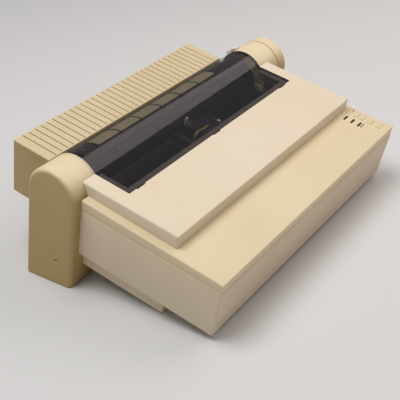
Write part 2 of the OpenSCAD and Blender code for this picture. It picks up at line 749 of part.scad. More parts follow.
module platen_knob() color(case_colour) in_slab() translate([0, arch_y, arch_z]) rotate([0, 90, 0])
    rotate_extrude() polygon([[shaft_r, knob_x0 + 2], [shaft_r + 4, knob_x0 + 2], [shaft_r + 4, knob_x1 - 7],
        [arch_r - 3, knob_x1 - 7], [arch_r - 3, knob_x0], [arch_r - 0.4, knob_x0], [arch_r, knob_x0 + 0.6],
        [arch_r, knob_x1 - 2], [arch_r - 2, knob_x1], [arch_r - 7, knob_x1], [arch_r - 9, knob_x1 - 2],
        [0, knob_x1 - 2], [0, knob_x1 - 5], [shaft_r, knob_x1 - 5]]);

module platen_gear() color(nylon_colour) in_slab() gear(platen_teeth, 0, [arch_y, arch_z], shaft_r);

module platen_bushes() color(brass_colour) in_slab() both_ends() difference() {
    union() {
        bar_x(-plate_x1, -plate_x0, [arch_y, arch_z], shaft_r + 3);
        bar_x(-plate_x0, -plate_x0 + 1.5, [arch_y, arch_z], shaft_r + 5);
    }
    bar_x(-plate_x1 - 1, -plate_x0 + 2, [arch_y, arch_z], shaft_r + run);
}

module idler_gear() color(nylon_colour) in_slab() gear(idler_teeth, idler_turn, idler_at, stud_r + run);

module feed_motor() color(dark_colour) in_slab() difference() {
    union() {
        bar_x(-rear_x - motor_l, -rear_x, motor_at, motor_r);
        box(-rear_x - motor_flange, -rear_x, motor_at[0] - motor_r - 4, motor_at[0] + motor_r + 4,
            motor_at[1] - 8, motor_at[1] + 8);
        bar_x(-rear_x - 0.1, -rear_x + wall, motor_at, motor_boss_r);
    }
    bar_x(-rear_x - motor_l + 4, -rear_x + wall + 1, motor_at, pulley_shaft_r + run);
}

module feed_pinion() color(brass_colour) in_slab() {
    gear(pinion_teeth, pinion_turn, motor_at, pulley_shaft_r - 0.1);
    bar_x(-rear_x - motor_l + 5, gear_x1, motor_at, pulley_shaft_r);
}

module paper_guide() color(case_colour) in_slab() {
    along_x(-plate_x0, plate_x0) guide_outline();
    for (i = [0 : 6])
        translate([rib_x0 + i*rib_pitch, 0, 0]) along_x(-0.8, 0.8)
            sector(guide_r + 0.7, guide_r + guide_t + guide_rib, guide_low + 2, guide_high - 1);
}

// A leg behind the platen, an arched top close under the smoked cover, and a lip that leads the paper over it
module guide_outline() {
    top = arch_point(guide_r + guide_t/2, guide_low);
    sector(guide_r, guide_r + guide_t, guide_low, guide_high);
    polygon([[guide_leg_y, guide_foot_z], [guide_leg_y, top[1] + 0.5], [top[0], top[1] + 0.5],
        [guide_leg_y + guide_t, top[1] - 2], [guide_leg_y + guide_t, guide_foot_z]]);
    polygon([arch_point(guide_r + guide_t - 0.3, guide_high - 2.5), arch_point(guide_r + 0.5, guide_high - 3.5),
        arch_point(guide_r - 4.5, guide_high + 6), arch_point(guide_r - 3, guide_high + 8.5)]);
}

module paper_pan() color(steel_colour) in_slab() difference() {
    union() {
        along_x(-bail_arm_x0 + fit, bail_arm_x0 - fit) sector(pan_r, pan_r + 1, 215, 335);
        along_x(-plate_x0, plate_x0) sector(pan_r, pan_r + 1, 270, 335);
    }
    for (x = bail_rollers_x)
        box(x - pinch_roller_l/2 - 1, x + pinch_roller_l/2 + 1, pinch_at[0] - pinch_r - 3, pinch_at[0] + pinch_r + 3,
            pinch_at[1] - far, pinch_at[1] + far);
}

module pinch_shaft() color(steel_colour) in_slab() bar_x(-plate_x1, plate_x1, pinch_at, pinch_shaft_r);

module pinch_rollers() color(rubber_colour) in_slab() for (x = bail_rollers_x) difference() {
    bar_x(x - pinch_roller_l/2, x + pinch_roller_l/2, pinch_at, pinch_r);
    bar_x(x - far, x + far, pinch_at, pinch_shaft_r);
}

module bail_frame() color(steel_colour) in_slab() {
    bar_x(-bail_arm_x0 - bail_arm_t, bail_arm_x0 + bail_arm_t, bail_at, bail_rod_r);
    both_ends() along_x(-bail_arm_x0 - bail_arm_t, -bail_arm_x0) difference() {
        hull() {
            translate(bail_pivot) circle(bail_rod_r + 1.8);
            translate(bail_at) circle(bail_rod_r + 0.8);
        }
        translate(bail_pivot) circle(bail_rod_r + run);
    }
}

module bail_rollers() color(rubber_colour) in_slab() for (x = bail_rollers_x) difference() {
    bar_x(x - bail_roller_l/2, x + bail_roller_l/2, bail_at, bail_roller_r);
    bar_x(x - far, x + far, bail_at, bail_rod_r + run);
}

// Tractors
module tractor_drive_shaft() color(steel_colour) in_slab() {
    bar_x(gear_x0, plate_x1, drive_at, guide_shaft_r);
    along_x(-plate_x0 + 2, plate_x0 - 2) translate(drive_at) circle(hex_r, $fn = 6);
}

module tractor_gear() color(nylon_colour) in_slab() gear(tractor_teeth, tractor_turn, drive_at, guide_shaft_r);

module tractor_guide_shaft() color(steel_colour) in_slab()
    bar_x(-plate_x1, plate_x1, guide_shaft_at, guide_shaft_r);

// A tractor that spans x0 to x0 + tractor_w, with its flap hinged at the edge x0
module tractor(x0) {
    hinge_x = x0 + flap_barrel_r;
    mid = x0 + tractor_w/2;
    difference() {
        box(x0, x0 + tractor_w, tractor_y0, tractor_y1, tractor_z0, tractor_z1);
        along_x(mid - sprocket_l/2 - 0.5, mid + sprocket_l/2 + 0.5) translate(drive_at) circle(sprocket_tip + 0.4);
        bar_x(x0 - 1, x0 + tractor_w + 1, drive_at, hex_r + 0.6);
        bar_x(x0 - 1, x0 + tractor_w + 1, guide_shaft_at, guide_shaft_r + run);
    }
    for (y = [tractor_y0, tractor_y1 - 4]) along_y(y, y + 4) {
        translate([hinge_x, flap_z]) circle(flap_barrel_r);
        polygon([[x0, tractor_z1 - 0.1], [x0, flap_z], [hinge_x + 1, flap_z], [hinge_x + 1, tractor_z1 - 0.1]]);
    }
    bar_y(tractor_y0 + 1, tractor_y1 - 1, hinge_x, flap_z, flap_pin_r);
}

module flap(x0) {
    hinge_x = x0 + flap_barrel_r;
    mid = x0 + tractor_w/2;
    y0 = tractor_y0 + 4 + fit;
    y1 = tractor_y1 - 4 - fit;
    difference() {
        union() {
            bar_y(y0, y1, hinge_x, flap_z, flap_barrel_r);
            box(hinge_x, x0 + tractor_w - 0.6, y0, y1, flap_z - flap_t/2, flap_z + flap_t/2);
        }
        bar_y(y0 - 1, y1 + 1, hinge_x, flap_z, flap_pin_r + run);
        box(mid - 2.4, mid + 2.4, drive_at[0] - 8, drive_at[0] + 8, flap_z - 5, flap_z + 5);
    }
}

module sprocket(x0) {
    mid = x0 + tractor_w/2;
    difference() {
        bar_x(mid - sprocket_l/2, mid + sprocket_l/2, drive_at, sprocket_r);
        along_x(mid - 20, mid + 20) translate(drive_at) circle(hex_r + 0.12, $fn = 6);
    }
    for (k = [0 : 7]) translate([mid, drive_at[0], drive_at[1]]) rotate([45*k, 0, 0])
        translate([0, 0, sprocket_r - 0.5]) cylinder(h = sprocket_tip - sprocket_r + 0.5, r = sprocket_pin_r);
}

tractor_at = -tractor_x - tractor_w;
module left_tractor() color(nylon_colour) in_slab() tractor(tractor_at);
module right_tractor() color(nylon_colour) in_slab() mirror([1, 0, 0]) tractor(tractor_at);
module left_sprocket() color(dark_colour) in_slab() sprocket(tractor_at);
module right_sprocket() color(dark_colour) in_slab() mirror([1, 0, 0]) sprocket(tractor_at);
module left_tractor_flap() color(nylon_colour) in_slab() flap(tractor_at);
module right_tractor_flap() color(nylon_colour) in_slab() mirror([1, 0, 0]) flap(tractor_at);

// Carriage
module on_carriage() in_slab() translate([carriage_x, 0, 0]) children();

module carriage() color(dark_colour) on_carriage() difference() {
    w = carriage_w/2;
    union() {
        box(-w, w, block_y0, block_y1, block_z0, block_z1);
        box(-w, w, block_y0, rail_y + rail_t + fit + 2.5, rail_top - 8, block_z0 + 1);
        box(-10, 10, belt_y0, block_y0 + 1, belt_z + belt_r + belt_t + fit, belt_z + belt_r + belt_t + fit + 3);
        box(-10, 10, belt_y0, block_y0 + 1, belt_z + belt_r - fit - 3, belt_z + belt_r - fit);
        box(-cartridge_w/2 + 4, cartridge_w/2 - 4, cartridge_y0 + 6, cartridge_y1 - 2, -shelf_t, 0);
        for (x = [-w, w - 10]) box(x, x + 10, block_y0, cartridge_y1 - 2, block_z1 - 1, -shelf_t + 1);
    }
    bar_x(-far, far, rod_at, rod_r + run);
    box(-far, far, rail_y - fit, rail_y + rail_t + fit, rail_top - 20, rail_top + fit);
}

module print_head() color("#8c9094") on_carriage() difference() {
    union() {
        box(-head_w/2, head_w/2, head_y0, head_y0 + 28, block_z1, head_top);
        along_y(head_y0 + 27, nose_y - 5) translate([0, arch_z]) circle(9);
        along_y(nose_y - 6, nose_y) polygon([[-nose_w/2, arch_z - 5], [-nose_w/2, arch_z + 4],
            [nose_w/2, arch_z + 4], [nose_w/2, arch_z - 5]]);
        box(shield_x0, shield_x1, nose_y - 4, nose_y - 2, arch_z + 3, head_top);
    }
    for (i = [0 : 5]) box(-head_w/2 - 1, head_w/2 + 1, head_y0 + 3 + 4*i, head_y0 + 5 + 4*i, head_top - 9, far);
}

module ribbon_cartridge() color("#2a2c30") on_carriage() {
    box(-cartridge_w/2, cartridge_w/2, cartridge_y0, cartridge_y1, 0, cartridge_h);
    both_ends() box(-horn_x - horn_w, -horn_x, cartridge_y1 - 1, nose_y + 0.2, 0, 10);
    box(-horn_x - 2, horn_x + 2, nose_y + 0.2, nose_y + 0.6, 0, 9);
    bar_z(30, cartridge_y0 + 16, cartridge_h - 1, cartridge_h + 3, 7);
}

module head_flex_cable() color(brass_colour) on_carriage() along_y(flex_y0, flex_y1) {
    left = flex_at[0] - flex_r;
    difference() {
        translate(flex_at) circle(flex_r);
        translate(flex_at) circle(flex_r - flex_t);
        translate([left - 1, block_z1 - 1]) square([2*flex_r + 2, flex_at[1] - block_z1 + 1]);
        translate([-head_w/2 - 0.3, flex_at[1] - 1]) square([2*flex_r + 2, head_top - flex_at[1] + 1]);
    }
    translate([left, block_z1]) square([flex_t, flex_at[1] - block_z1 + 0.1]);
    translate([flex_at[0] + 4, head_top]) square([14, flex_t]);
}

// Belt drive
module belt_outline(r) {
    for (x = [-pulley_x, pulley_x]) translate([x, belt_z]) circle(r);
    translate([-pulley_x, belt_z - r]) square([2*pulley_x, 2*r]);
}

module carriage_belt() color(rubber_colour) in_slab() along_y(belt_y0, belt_y0 + belt_w) difference() {
    belt_outline(belt_r + belt_t);
    belt_outline(belt_r);
}

module carriage_motor() color(dark_colour) in_slab() difference() {
    bar_y(motor_tab_y - carriage_motor_l, motor_tab_y, -pulley_x, belt_z, carriage_motor_r);
    bar_y(motor_tab_y - 14, motor_tab_y + 1, -pulley_x, belt_z, pulley_shaft_r + run);
}

module motor_pulley() color(brass_colour) in_slab() {
    bar_y(belt_y0, belt_y0 + belt_w, -pulley_x, belt_z, pulley_r);
    bar_y(motor_tab_y - 13, belt_y0 + belt_w, -pulley_x, belt_z, pulley_shaft_r);
}

module idler_pulley() color(nylon_colour) in_slab() difference() {
    bar_y(belt_y0, belt_y0 + belt_w, pulley_x, belt_z, pulley_r);
    bar_y(belt_y0 - 1, belt_y0 + belt_w + 1, pulley_x, belt_z, pulley_shaft_r + run);
}

// Electrics
module main_board() color(board_colour) in_slab() {
    z = main_board_z();
    y0 = pan_y0 + main_board_gap;
    x1 = main_board_x0 + main_board_w;
    box(main_board_x0, x1, y0, pan_y1 - main_board_gap, z, z + board_t);
    for (i = [0 : 4]) translate([main_board_x0 + (i + 0.75)*main_board_w/6, y0 + 2*chip_l, z + board_t])
        box(0, chip_w, 0, chip_l, -0.1, chip_h);
    for (i = [0 : 3]) translate([main_board_x0 + (i + 0.8)*main_board_w/5, y0 + 5*chip_l, z + board_t])
        box(0, 1.3*chip_w, 0, chip_l, -0.1, chip_h);
    bar_z(x1 - chip_w, y0 + 8*chip_l, z + 1, z + 2*chip_h, chip_h + 2);
}

module transformer() color(dark_colour) in_slab() {
    z = -lower_h + wall;
    x = -half_w + core_gap + core_w/2;
    y = core_gap + core_l/2;
    box(x - core_w/2, x + core_w/2, y - core_l/2, y + core_l/2, z, z + core_h);
    box(x - coil_w/2, x + coil_w/2, y - coil_l/2, y + coil_l/2, z + 0.18*core_h, z + 0.82*core_h);
}

module power_inlet() color(dark_colour) in_slab() {
    difference() {
        union() {
            box(inlet_x - inlet_w/2, inlet_x + inlet_w/2, case_d - inlet_d, case_d, inlet_z - inlet_h/2,
                inlet_z + inlet_h/2);
            box(inlet_x - inlet_w/2 - 3, inlet_x + inlet_w/2 + 3, case_d - wall - 2, case_d - wall,
                inlet_z - inlet_h/2 - 2, inlet_z + inlet_h/2 + 2);
        }
        box(inlet_x - 12, inlet_x + 12, case_d - 15, case_d + 1, inlet_z - 8, inlet_z + 8);
    }
    for (p = [[-7, -2], [0, 2], [7, -2]])
        box(inlet_x + p[0] - 1, inlet_x + p[0] + 1, case_d - 15.5, case_d - 8, inlet_z + p[1] - 2, inlet_z + p[1] + 2);
}

module serial_socket() color(dark_colour) in_slab() difference() {
    union() {
        bar_y(case_d - 14, case_d, socket_x, socket_z, socket_r);
        box(socket_x - 10, socket_x + 10, case_d - wall - 2, case_d - wall, socket_z - 10, socket_z + 10);
    }
    bar_y(case_d - 9, case_d + 1, socket_x, socket_z, socket_r - 1.8);
}

// Screws of the chassis and of the base pan
module machine_screws() color(steel_colour) in_slab() {
    for (p = chassis_screws) {
        bar_z(p[0], p[1], base_z - 6, base_top, screw_r);
        bar_z(p[0], p[1], base_top, base_top + 2, 2*screw_r);
    }
    for (p = pan_screws) {
        bar_z(p[0], p[1], pan_z + wall, -lower_h + 7, screw_r);
        bar_z(p[0], p[1], pan_z + wall - 1.2, pan_z + wall + 1, 2*screw_r);
    }
}

lower_case();
top_case();
base_pan();
rear_frame();
rear_deck();
left_end_housing();
right_end_housing();
front_lid();
smoked_cover();
cover_hinge_pins();
rubber_feet();
power_rocker();
select_key();
line_feed_key();
form_feed_key();
print_quality_key();
indicator_windows();
control_board();
paper_release_lever();
head_gap_lever();
chassis_base();
left_chassis_plate();
right_chassis_plate();
carriage_guide_rod();
platen();
platen_shaft();
platen_knob();
platen_gear();
platen_bushes();
idler_gear();
feed_motor();
feed_pinion();
paper_guide();
paper_pan();
pinch_shaft();
pinch_rollers();
bail_frame();
bail_rollers();
tractor_drive_shaft();
tractor_gear();
tractor_guide_shaft();
left_tractor();
right_tractor();
left_sprocket();
right_sprocket();
left_tractor_flap();
right_tractor_flap();
carriage();
print_head();
ribbon_cartridge();
head_flex_cable();
carriage_belt();
carriage_motor();
motor_pulley();
idler_pulley();
main_board();
transformer();
power_inlet();
serial_socket();
machine_screws();
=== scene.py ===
import json
import math
import bpy
from mathutils import Matrix, Vector

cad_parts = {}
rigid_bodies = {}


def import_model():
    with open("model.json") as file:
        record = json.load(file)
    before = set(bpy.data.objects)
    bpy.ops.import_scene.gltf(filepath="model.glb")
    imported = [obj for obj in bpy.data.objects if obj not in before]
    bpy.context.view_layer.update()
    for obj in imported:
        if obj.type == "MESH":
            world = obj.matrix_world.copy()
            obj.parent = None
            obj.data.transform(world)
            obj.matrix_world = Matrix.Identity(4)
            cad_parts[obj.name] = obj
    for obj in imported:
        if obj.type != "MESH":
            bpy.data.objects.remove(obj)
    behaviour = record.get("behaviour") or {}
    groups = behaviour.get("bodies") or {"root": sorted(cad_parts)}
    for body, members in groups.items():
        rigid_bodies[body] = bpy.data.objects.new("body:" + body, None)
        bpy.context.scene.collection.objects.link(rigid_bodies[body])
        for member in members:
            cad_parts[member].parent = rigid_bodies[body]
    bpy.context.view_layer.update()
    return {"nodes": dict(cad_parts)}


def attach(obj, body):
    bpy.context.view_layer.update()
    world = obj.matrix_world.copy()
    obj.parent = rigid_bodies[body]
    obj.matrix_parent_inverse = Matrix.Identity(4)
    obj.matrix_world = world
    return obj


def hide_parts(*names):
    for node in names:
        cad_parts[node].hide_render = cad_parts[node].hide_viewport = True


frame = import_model()

mm = 0.001
touch = 0.01               # what counts as the same place, in mm
farY, farZ = 260, 60       # where cutters end that reach clear of the case
slab = {"lean": 13.0, "shift": (-10.0, -153.559, 65.0)}    # the machine leans forward on its feet
arch = {"y": 212.0, "z": 4.0, "radius": 33.0}              # axis of the arched tops, also of the platen
hinge = (237.84, 13.41)                                    # the pins that lid and cover turn on
leanTurn = math.radians(slab["lean"])


def clearSelection():
    if bpy.context.object and bpy.context.object.mode != "OBJECT":
        bpy.ops.object.mode_set(mode="OBJECT")
    bpy.ops.object.select_all(action="DESELECT")


def pick(piece, *others):    # the first one becomes the active one
    clearSelection()
    for each in (*others, piece):
        each.select_set(True)
    bpy.context.view_layer.objects.active = piece


def rename(piece, name):
    piece.name = piece.data.name = name
    return piece


def settle(name):    # applies the new object's placing and names it
    bpy.ops.object.transform_apply(location=True, rotation=True, scale=True)
    return rename(bpy.context.object, name)


def addBlock(name, x0, x1, y0, y1, z0, z1):
    clearSelection()
    bpy.ops.mesh.primitive_cube_add(size=1, location=((x0 + x1) / 2 * mm, (y0 + y1) / 2 * mm, (z0 + z1) / 2 * mm))
    bpy.ops.transform.resize(value=((x1 - x0) * mm, (y1 - y0) * mm, (z1 - z0) * mm))
    return settle(name)


def addWide(name, half, y0, y1, z0, z1):    # a block across the middle of the machine
    return addBlock(name, -half, half, y0, y1, z0, z1)


def addStud(name, x, y, z0, z1, halfX, halfY):    # a block about an upright axis
    return addBlock(name, x - halfX, x + halfX, y - halfY, y + halfY, z0, z1)


def addBar(name, centre, radius, length, count, turn=(0, 0, 0)):
    clearSelection()
    bpy.ops.mesh.primitive_cylinder_add(vertices=count, radius=radius * mm, depth=length * mm,
                                        location=[v * mm for v in centre], rotation=turn)
    return settle(name)


def addRound(name, x0, x1, y, z, radius, count=96):    # a round bar along X
    return addBar(name, ((x0 + x1) / 2, y, z), radius, x1 - x0, count, (0, math.pi / 2, 0))


def addArchBar(name, x0, x1, radius, count=96):    # a round bar on the arch's axis
    return addRound(name, x0, x1, arch["y"], arch["z"], radius, count)


def addUpright(name, x, y, z0, z1, radius, count=48):    # a round bar along Z
    return addBar(name, (x, y, (z0 + z1) / 2), radius, z1 - z0, count)


def addLengthwise(name, x, z, y0, y1, radius, count=64):    # a round bar along Y
    return addBar(name, (x, (y0 + y1) / 2, z), radius, y1 - y0, count, (math.pi / 2, 0, 0))


def modify(piece, kind, **settings):    # adds a modifier and applies it
    pick(piece)
    modifier = piece.modifiers.new("step", kind)
    for key, value in settings.items():
        setattr(modifier, key, value)
    bpy.ops.object.modifier_apply(modifier=modifier.name)
    return piece


def editMesh(piece, *steps, whole=True):    # mesh operators and their settings, for all of it or for what is marked
    pick(piece)
    bpy.ops.object.mode_set(mode="EDIT")
    if whole:
        bpy.ops.mesh.select_all(action="SELECT")
    for operator, settings in steps:
        operator(**settings)
    bpy.ops.object.mode_set(mode="OBJECT")
    return piece


def combine(how, piece, others):
    for other in others:
        modify(piece, "BOOLEAN", operation=how, solver="EXACT", object=other)
        bpy.data.objects.remove(other, do_unlink=True)
    return piece


def cutAway(piece, *others):
    return combine("DIFFERENCE", piece, others)


def weld(piece, *others):
    return combine("UNION", piece, others)


def gather(name, pieces):    # one object of several shells that stay apart
    pick(*pieces)
    bpy.ops.object.join()
    return rename(pieces[0], name)


def repeatPiece(piece, count, step):
    return modify(piece, "ARRAY", count=count, use_relative_offset=False, use_constant_offset=True,
                  constant_offset_displace=[v * mm for v in step])


def trim(piece, point, normal):    # keeps the side that the normal points to
    return editMesh(piece, (bpy.ops.mesh.bisect, {"plane_co": [v * mm for v in point], "plane_no": normal,
                                                  "use_fill": True, "clear_inner": True}))


def mark(piece, kind, wanted):    # selects what is wanted of the edges or the faces, and nothing else
    mesh, kinds = piece.data, ("vertices", "edges", "polygons")
    bpy.context.tool_settings.mesh_select_mode = [each == kind for each in kinds]
    for each in kinds:
        things = getattr(mesh, each)
        things.foreach_set("select", [False] * len(things))
    chosen = [thing for thing in getattr(mesh, kind) if wanted(thing)]
    for thing in chosen:
        thing.select = True
    return len(chosen)


def markEdges(piece, test):    # the test gets both ends, in mm
    corners = piece.data.vertices
    return mark(piece, "edges", lambda edge: test(*(corners[i].co / mm for i in edge.vertices)))


def markFaces(piece, test):    # the test gets the centre in mm, and the normal
    return mark(piece, "polygons", lambda face: test(face.center / mm, face.normal))


def upright(least, before=math.inf, behind=-math.inf):    # edges that rise by more than this, between two y
    return lambda a, b: abs(a.z - b.z) > least and max(a.y, b.y) < before and min(a.y, b.y) > behind


def atTop(z):
    return lambda a, b: min(a.z, b.z) > z - touch


def atX(x):
    return lambda a, b: max(abs(a.x - x), abs(b.x - x)) < touch


def reach(v):    # distance of a point from the arch axis, in mm
    return math.hypot(v.y - arch["y"], v.z - arch["z"])


def roundEdges(piece, test, width, segments):
    if markEdges(piece, test):
        editMesh(piece, (bpy.ops.mesh.bevel, {"offset": width * mm, "segments": segments}), whole=False)
    return piece


def insetFaces(piece, test, *steps, single=False):    # each step is a width and the height it rises by
    markFaces(piece, test)
    insets = [(bpy.ops.mesh.inset, {"thickness": width * mm, "depth": rise * mm, "use_individual": single})
              for width, rise in steps]
    return editMesh(piece, *insets, whole=False)


def tidyFaces(piece):
    return editMesh(piece, (bpy.ops.mesh.remove_doubles, {"threshold": 0.00001}),
                    (bpy.ops.mesh.dissolve_limited, {"angle_limit": math.radians(0.4)}))


def soften(piece, width, segments=2, angle=35):
    return modify(piece, "BEVEL", width=width * mm, segments=segments, limit_method="ANGLE",
                  angle_limit=math.radians(angle))


def finishPiece(piece, body, finishName, replaced=None, leaning=True, angle=30):
    pick(piece)
    if leaning:
        piece.rotation_euler = (leanTurn, 0, 0)
        piece.location = [v * mm for v in slab["shift"]]
    bpy.ops.object.transform_apply(location=True, rotation=True, scale=True)
    editMesh(piece, (bpy.ops.mesh.remove_doubles, {"threshold": 0.000002}),
             (bpy.ops.mesh.normals_make_consistent, {"inside": False}))
    bpy.ops.object.shade_smooth_by_angle(angle=math.radians(angle))
    piece.data.materials.clear()
    piece.data.materials.append(finishes[finishName])
    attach(piece, body)
    if replaced:
        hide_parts(replaced)
    return piece


def finishCase(piece, finishName, nodeName):    # the fixed mouldings of the case
    return finishPiece(piece, "case", finishName, nodeName, angle=28)


def plug(tree, value, socket):    # a wire is linked, anything else is set
    if isinstance(value, Wire):
        tree.links.new(value.socket, socket)
    else:
        socket.default_value = value


def wireMath(operation, swapped=False):
    if swapped:
        return lambda wire, other: wire.math(operation, other, wire)
    return lambda wire, other: wire.math(operation, wire, other)


class Wire:
    def __init__(self, tree, socket):
        self.tree = tree
        self.socket = socket

    def math(self, operation, first, second=0.0, clamp=False):
        node = self.tree.nodes.new("ShaderNodeMath")
        node.operation = operation
        node.use_clamp = clamp
        plug(self.tree, first, node.inputs[0])
        plug(self.tree, second, node.inputs[1])
        return Wire(self.tree, node.outputs[0])

    __add__, __radd__ = wireMath("ADD"), wireMath("ADD", True)
    __sub__, __rsub__ = wireMath("SUBTRACT"), wireMath("SUBTRACT", True)
    __mul__ = wireMath("MULTIPLY")
    over = wireMath("GREATER_THAN")    # 1 where the value is larger than the limit

    def held(self):    # kept between 0 and 1
        return self.math("ADD", self, 0.0, clamp=True)

    def size(self):
        return self.math("ABSOLUTE", self)


class Finish:
    def __init__(self, name):
        self.material = bpy.data.materials.new(name)
        self.material.use_nodes = True
        self.tree = self.material.node_tree
        self.shader = self.tree.nodes["Principled BSDF"]
        self.place = self.node("ShaderNodeTexCoord", {}, {}, "Object")
        self.facing = self.node("ShaderNodeTexCoord", {}, {}, "Normal")

    def node(self, kind, settings, values, output=0):
        node = self.tree.nodes.new(kind)
        for key, value in settings.items():
            setattr(node, key, value)
        for key, value in values.items():
            plug(self.tree, value, node.inputs[key])
        return Wire(self.tree, node.outputs[output])

    def part(self, vector, letter):
        return self.node("ShaderNodeSeparateXYZ", {}, {"Vector": vector}, letter)

    def leaning(self):    # x, y and z along the leaning machine, in metres
        back = self.part(self.place, "Y") - slab["shift"][1] * mm
        rise = self.part(self.place, "Z") - slab["shift"][2] * mm
        return (self.part(self.place, "X") - slab["shift"][0] * mm,
                back * math.cos(leanTurn) + rise * math.sin(leanTurn),
                rise * math.cos(leanTurn) - back * math.sin(leanTurn))

    def noise(self, scale, detail=3.0, rough=0.5, stretch=(1, 1, 1)):
        place = self.node("ShaderNodeMapping", {"vector_type": "POINT"}, {"Vector": self.place, "Scale": stretch})
        return self.node("ShaderNodeTexNoise", {}, {"Vector": place, "Scale": scale, "Detail": detail,
                                                    "Roughness": rough}, "Fac")

    def mix(self, factor, first, second):
        node = self.tree.nodes.new("ShaderNodeMix")
        node.data_type = "RGBA"
        plug(self.tree, factor, node.inputs[0])
        for socket, colour in ((node.inputs[6], first), (node.inputs[7], second)):
            plug(self.tree, colour if isinstance(colour, Wire) else (*colour, 1), socket)
        return Wire(self.tree, node.outputs[2])

    def bump(self, height, strength, distance):
        return self.node("ShaderNodeBump", {}, {"Height": height, "Strength": strength, "Distance": distance}, "Normal")

    def drive(self, **sockets):
        for key, value in sockets.items():
            plug(self.tree, value, self.shader.inputs[key.replace("_", " ")])
        return self.material


def srgb(*levels):
    return tuple(v / 255 / 12.92 if v / 255 <= 0.04045 else ((v / 255 + 0.055) / 1.055) ** 2.4 for v in levels)


def scaled(colour, factor, lift=0.0):
    return tuple(v * factor + lift for v in colour)


def mouldedPlastic(name, colour, aged, gloss=0.48, sideShade=None, behind=None, bay=None):
    finish = Finish(name)
    cloud = finish.noise(7.0, 4.0, 0.55)                     # slow yellowing
    speck = finish.noise(900.0, 2.0, 0.6)                    # spark-eroded grain of the mould
    smear = finish.noise(40.0, 5.0, 0.65, (1, 1, 0.4))       # handling marks
    base = finish.mix(((cloud - 0.35) * 2.2).held(), colour, aged)
    dull = ((smear - 0.52) * 3.0).held() * 0.10
    base = finish.mix(dull, base, scaled(aged, 0.72))
    if sideShade:                                                # painted shade: upright faces are mixed towards a darker, browner colour than the tops
        upward = finish.part(finish.facing, "Z")
        sideShadeMask = (1.0 - upward * 1.5).held()
        if behind is not None:                               # and only those of the rear
            sideShadeMask = sideShadeMask * ((finish.part(finish.place, "Y") - behind) * 25.0).held()
        base = finish.mix(sideShadeMask * (0.88 + (cloud - 0.5) * 0.2), base, sideShade)
    if bay:                                                  # painted shade: faces inside the window bay, the ledge among them, are mixed towards a darker colour
        across, along, rise = finish.leaning()
        lowOrBehind = ((0.0247 - rise).over(0) + along.over(0.187)).held()
        inside = along.over(0.1416) * (0.16575 - across.size()).over(0) * lowOrBehind
        base = finish.mix(inside, base, bay)
    rough = gloss + (smear - 0.5) * 0.16 + (speck - 0.5) * 0.10
    return finish.drive(Base_Color=base, Roughness=rough, Normal=finish.bump(speck, 0.35, 0.00003), IOR=1.47)


def smokedPlastic(name, colour, alpha, rough):
    finish = Finish(name)
    smear = finish.noise(22.0, 5.0, 0.6, (0.3, 1, 1))
    scuff = finish.noise(160.0, 3.0, 0.7, (1, 0.15, 1))
    across, along, rise = finish.leaning()
    rim = (across.size().over(0.1649) + (0.1423 - along).over(0)).held()    # a cut edge looks nearly solid
    return finish.drive(Base_Color=finish.mix((smear - 0.4).held(), colour, scaled(colour, 1.9)),
                        Roughness=rough + ((scuff - 0.58) * 1.5).held() * 0.25, Alpha=alpha + rim * 0.55, IOR=1.62,
                        Specular_IOR_Level=0.8)


def plainRubber(name, colour, gloss=0.7):
    finish = Finish(name)
    grain = finish.noise(1500.0, 3.0, 0.6)
    dust = finish.noise(60.0, 4.0, 0.6)
    base = finish.mix(((dust - 0.45) * 1.6).held() * 0.5, colour, scaled(colour, 1.8, 0.012))
    return finish.drive(Base_Color=base, Roughness=gloss + (grain - 0.5) * 0.2,
                        Normal=finish.bump(grain, 0.4, 0.00003))


def platedSteel(name, colour, rough, streak=(0.02, 1, 1)):
    finish = Finish(name)
    brushed = finish.noise(420.0, 3.0, 0.6, streak)
    stain = finish.noise(35.0, 4.0, 0.6)
    base = finish.mix(((stain - 0.45) * 1.5).held() * 0.5, colour, scaled(colour, 0.7))
    rough = rough + (brushed - 0.5) * 0.25 + (stain - 0.5) * 0.15
    return finish.drive(Base_Color=base, Metallic=1.0, Roughness=rough,
                        Normal=finish.bump(brushed, 0.15, 0.00002))


def mouldedNylon(name, colour, gloss=0.4, shine=0.5):
    finish = Finish(name)
    cloud = finish.noise(90.0, 3.0, 0.5)
    grain = finish.noise(1200.0, 2.0, 0.5)
    base = finish.mix(((cloud - 0.4) * 1.6).held() * 0.6, colour, scaled(colour, 0.84))
    return finish.drive(Base_Color=base, Roughness=gloss + (grain - 0.5) * 0.15, Specular_IOR_Level=shine,
                        Normal=finish.bump(grain, 0.2, 0.00002))


def circuitBoard(name):
    finish = Finish(name)
    tracks = finish.node("ShaderNodeTexVoronoi", {"distance": "CHEBYCHEV", "feature": "F1"},
                         {"Vector": finish.place, "Scale": 320.0}, "Distance")
    lines = ((tracks - 0.42) * 12.0).held()
    blotch = finish.noise(50.0, 3.0, 0.5)
    base = finish.mix(lines * 0.7, srgb(28, 84, 52), srgb(62, 128, 78))
    base = finish.mix((blotch - 0.45).held(), base, srgb(20, 60, 40))
    return finish.drive(Base_Color=base, Roughness=0.38 + (blotch - 0.5) * 0.2)
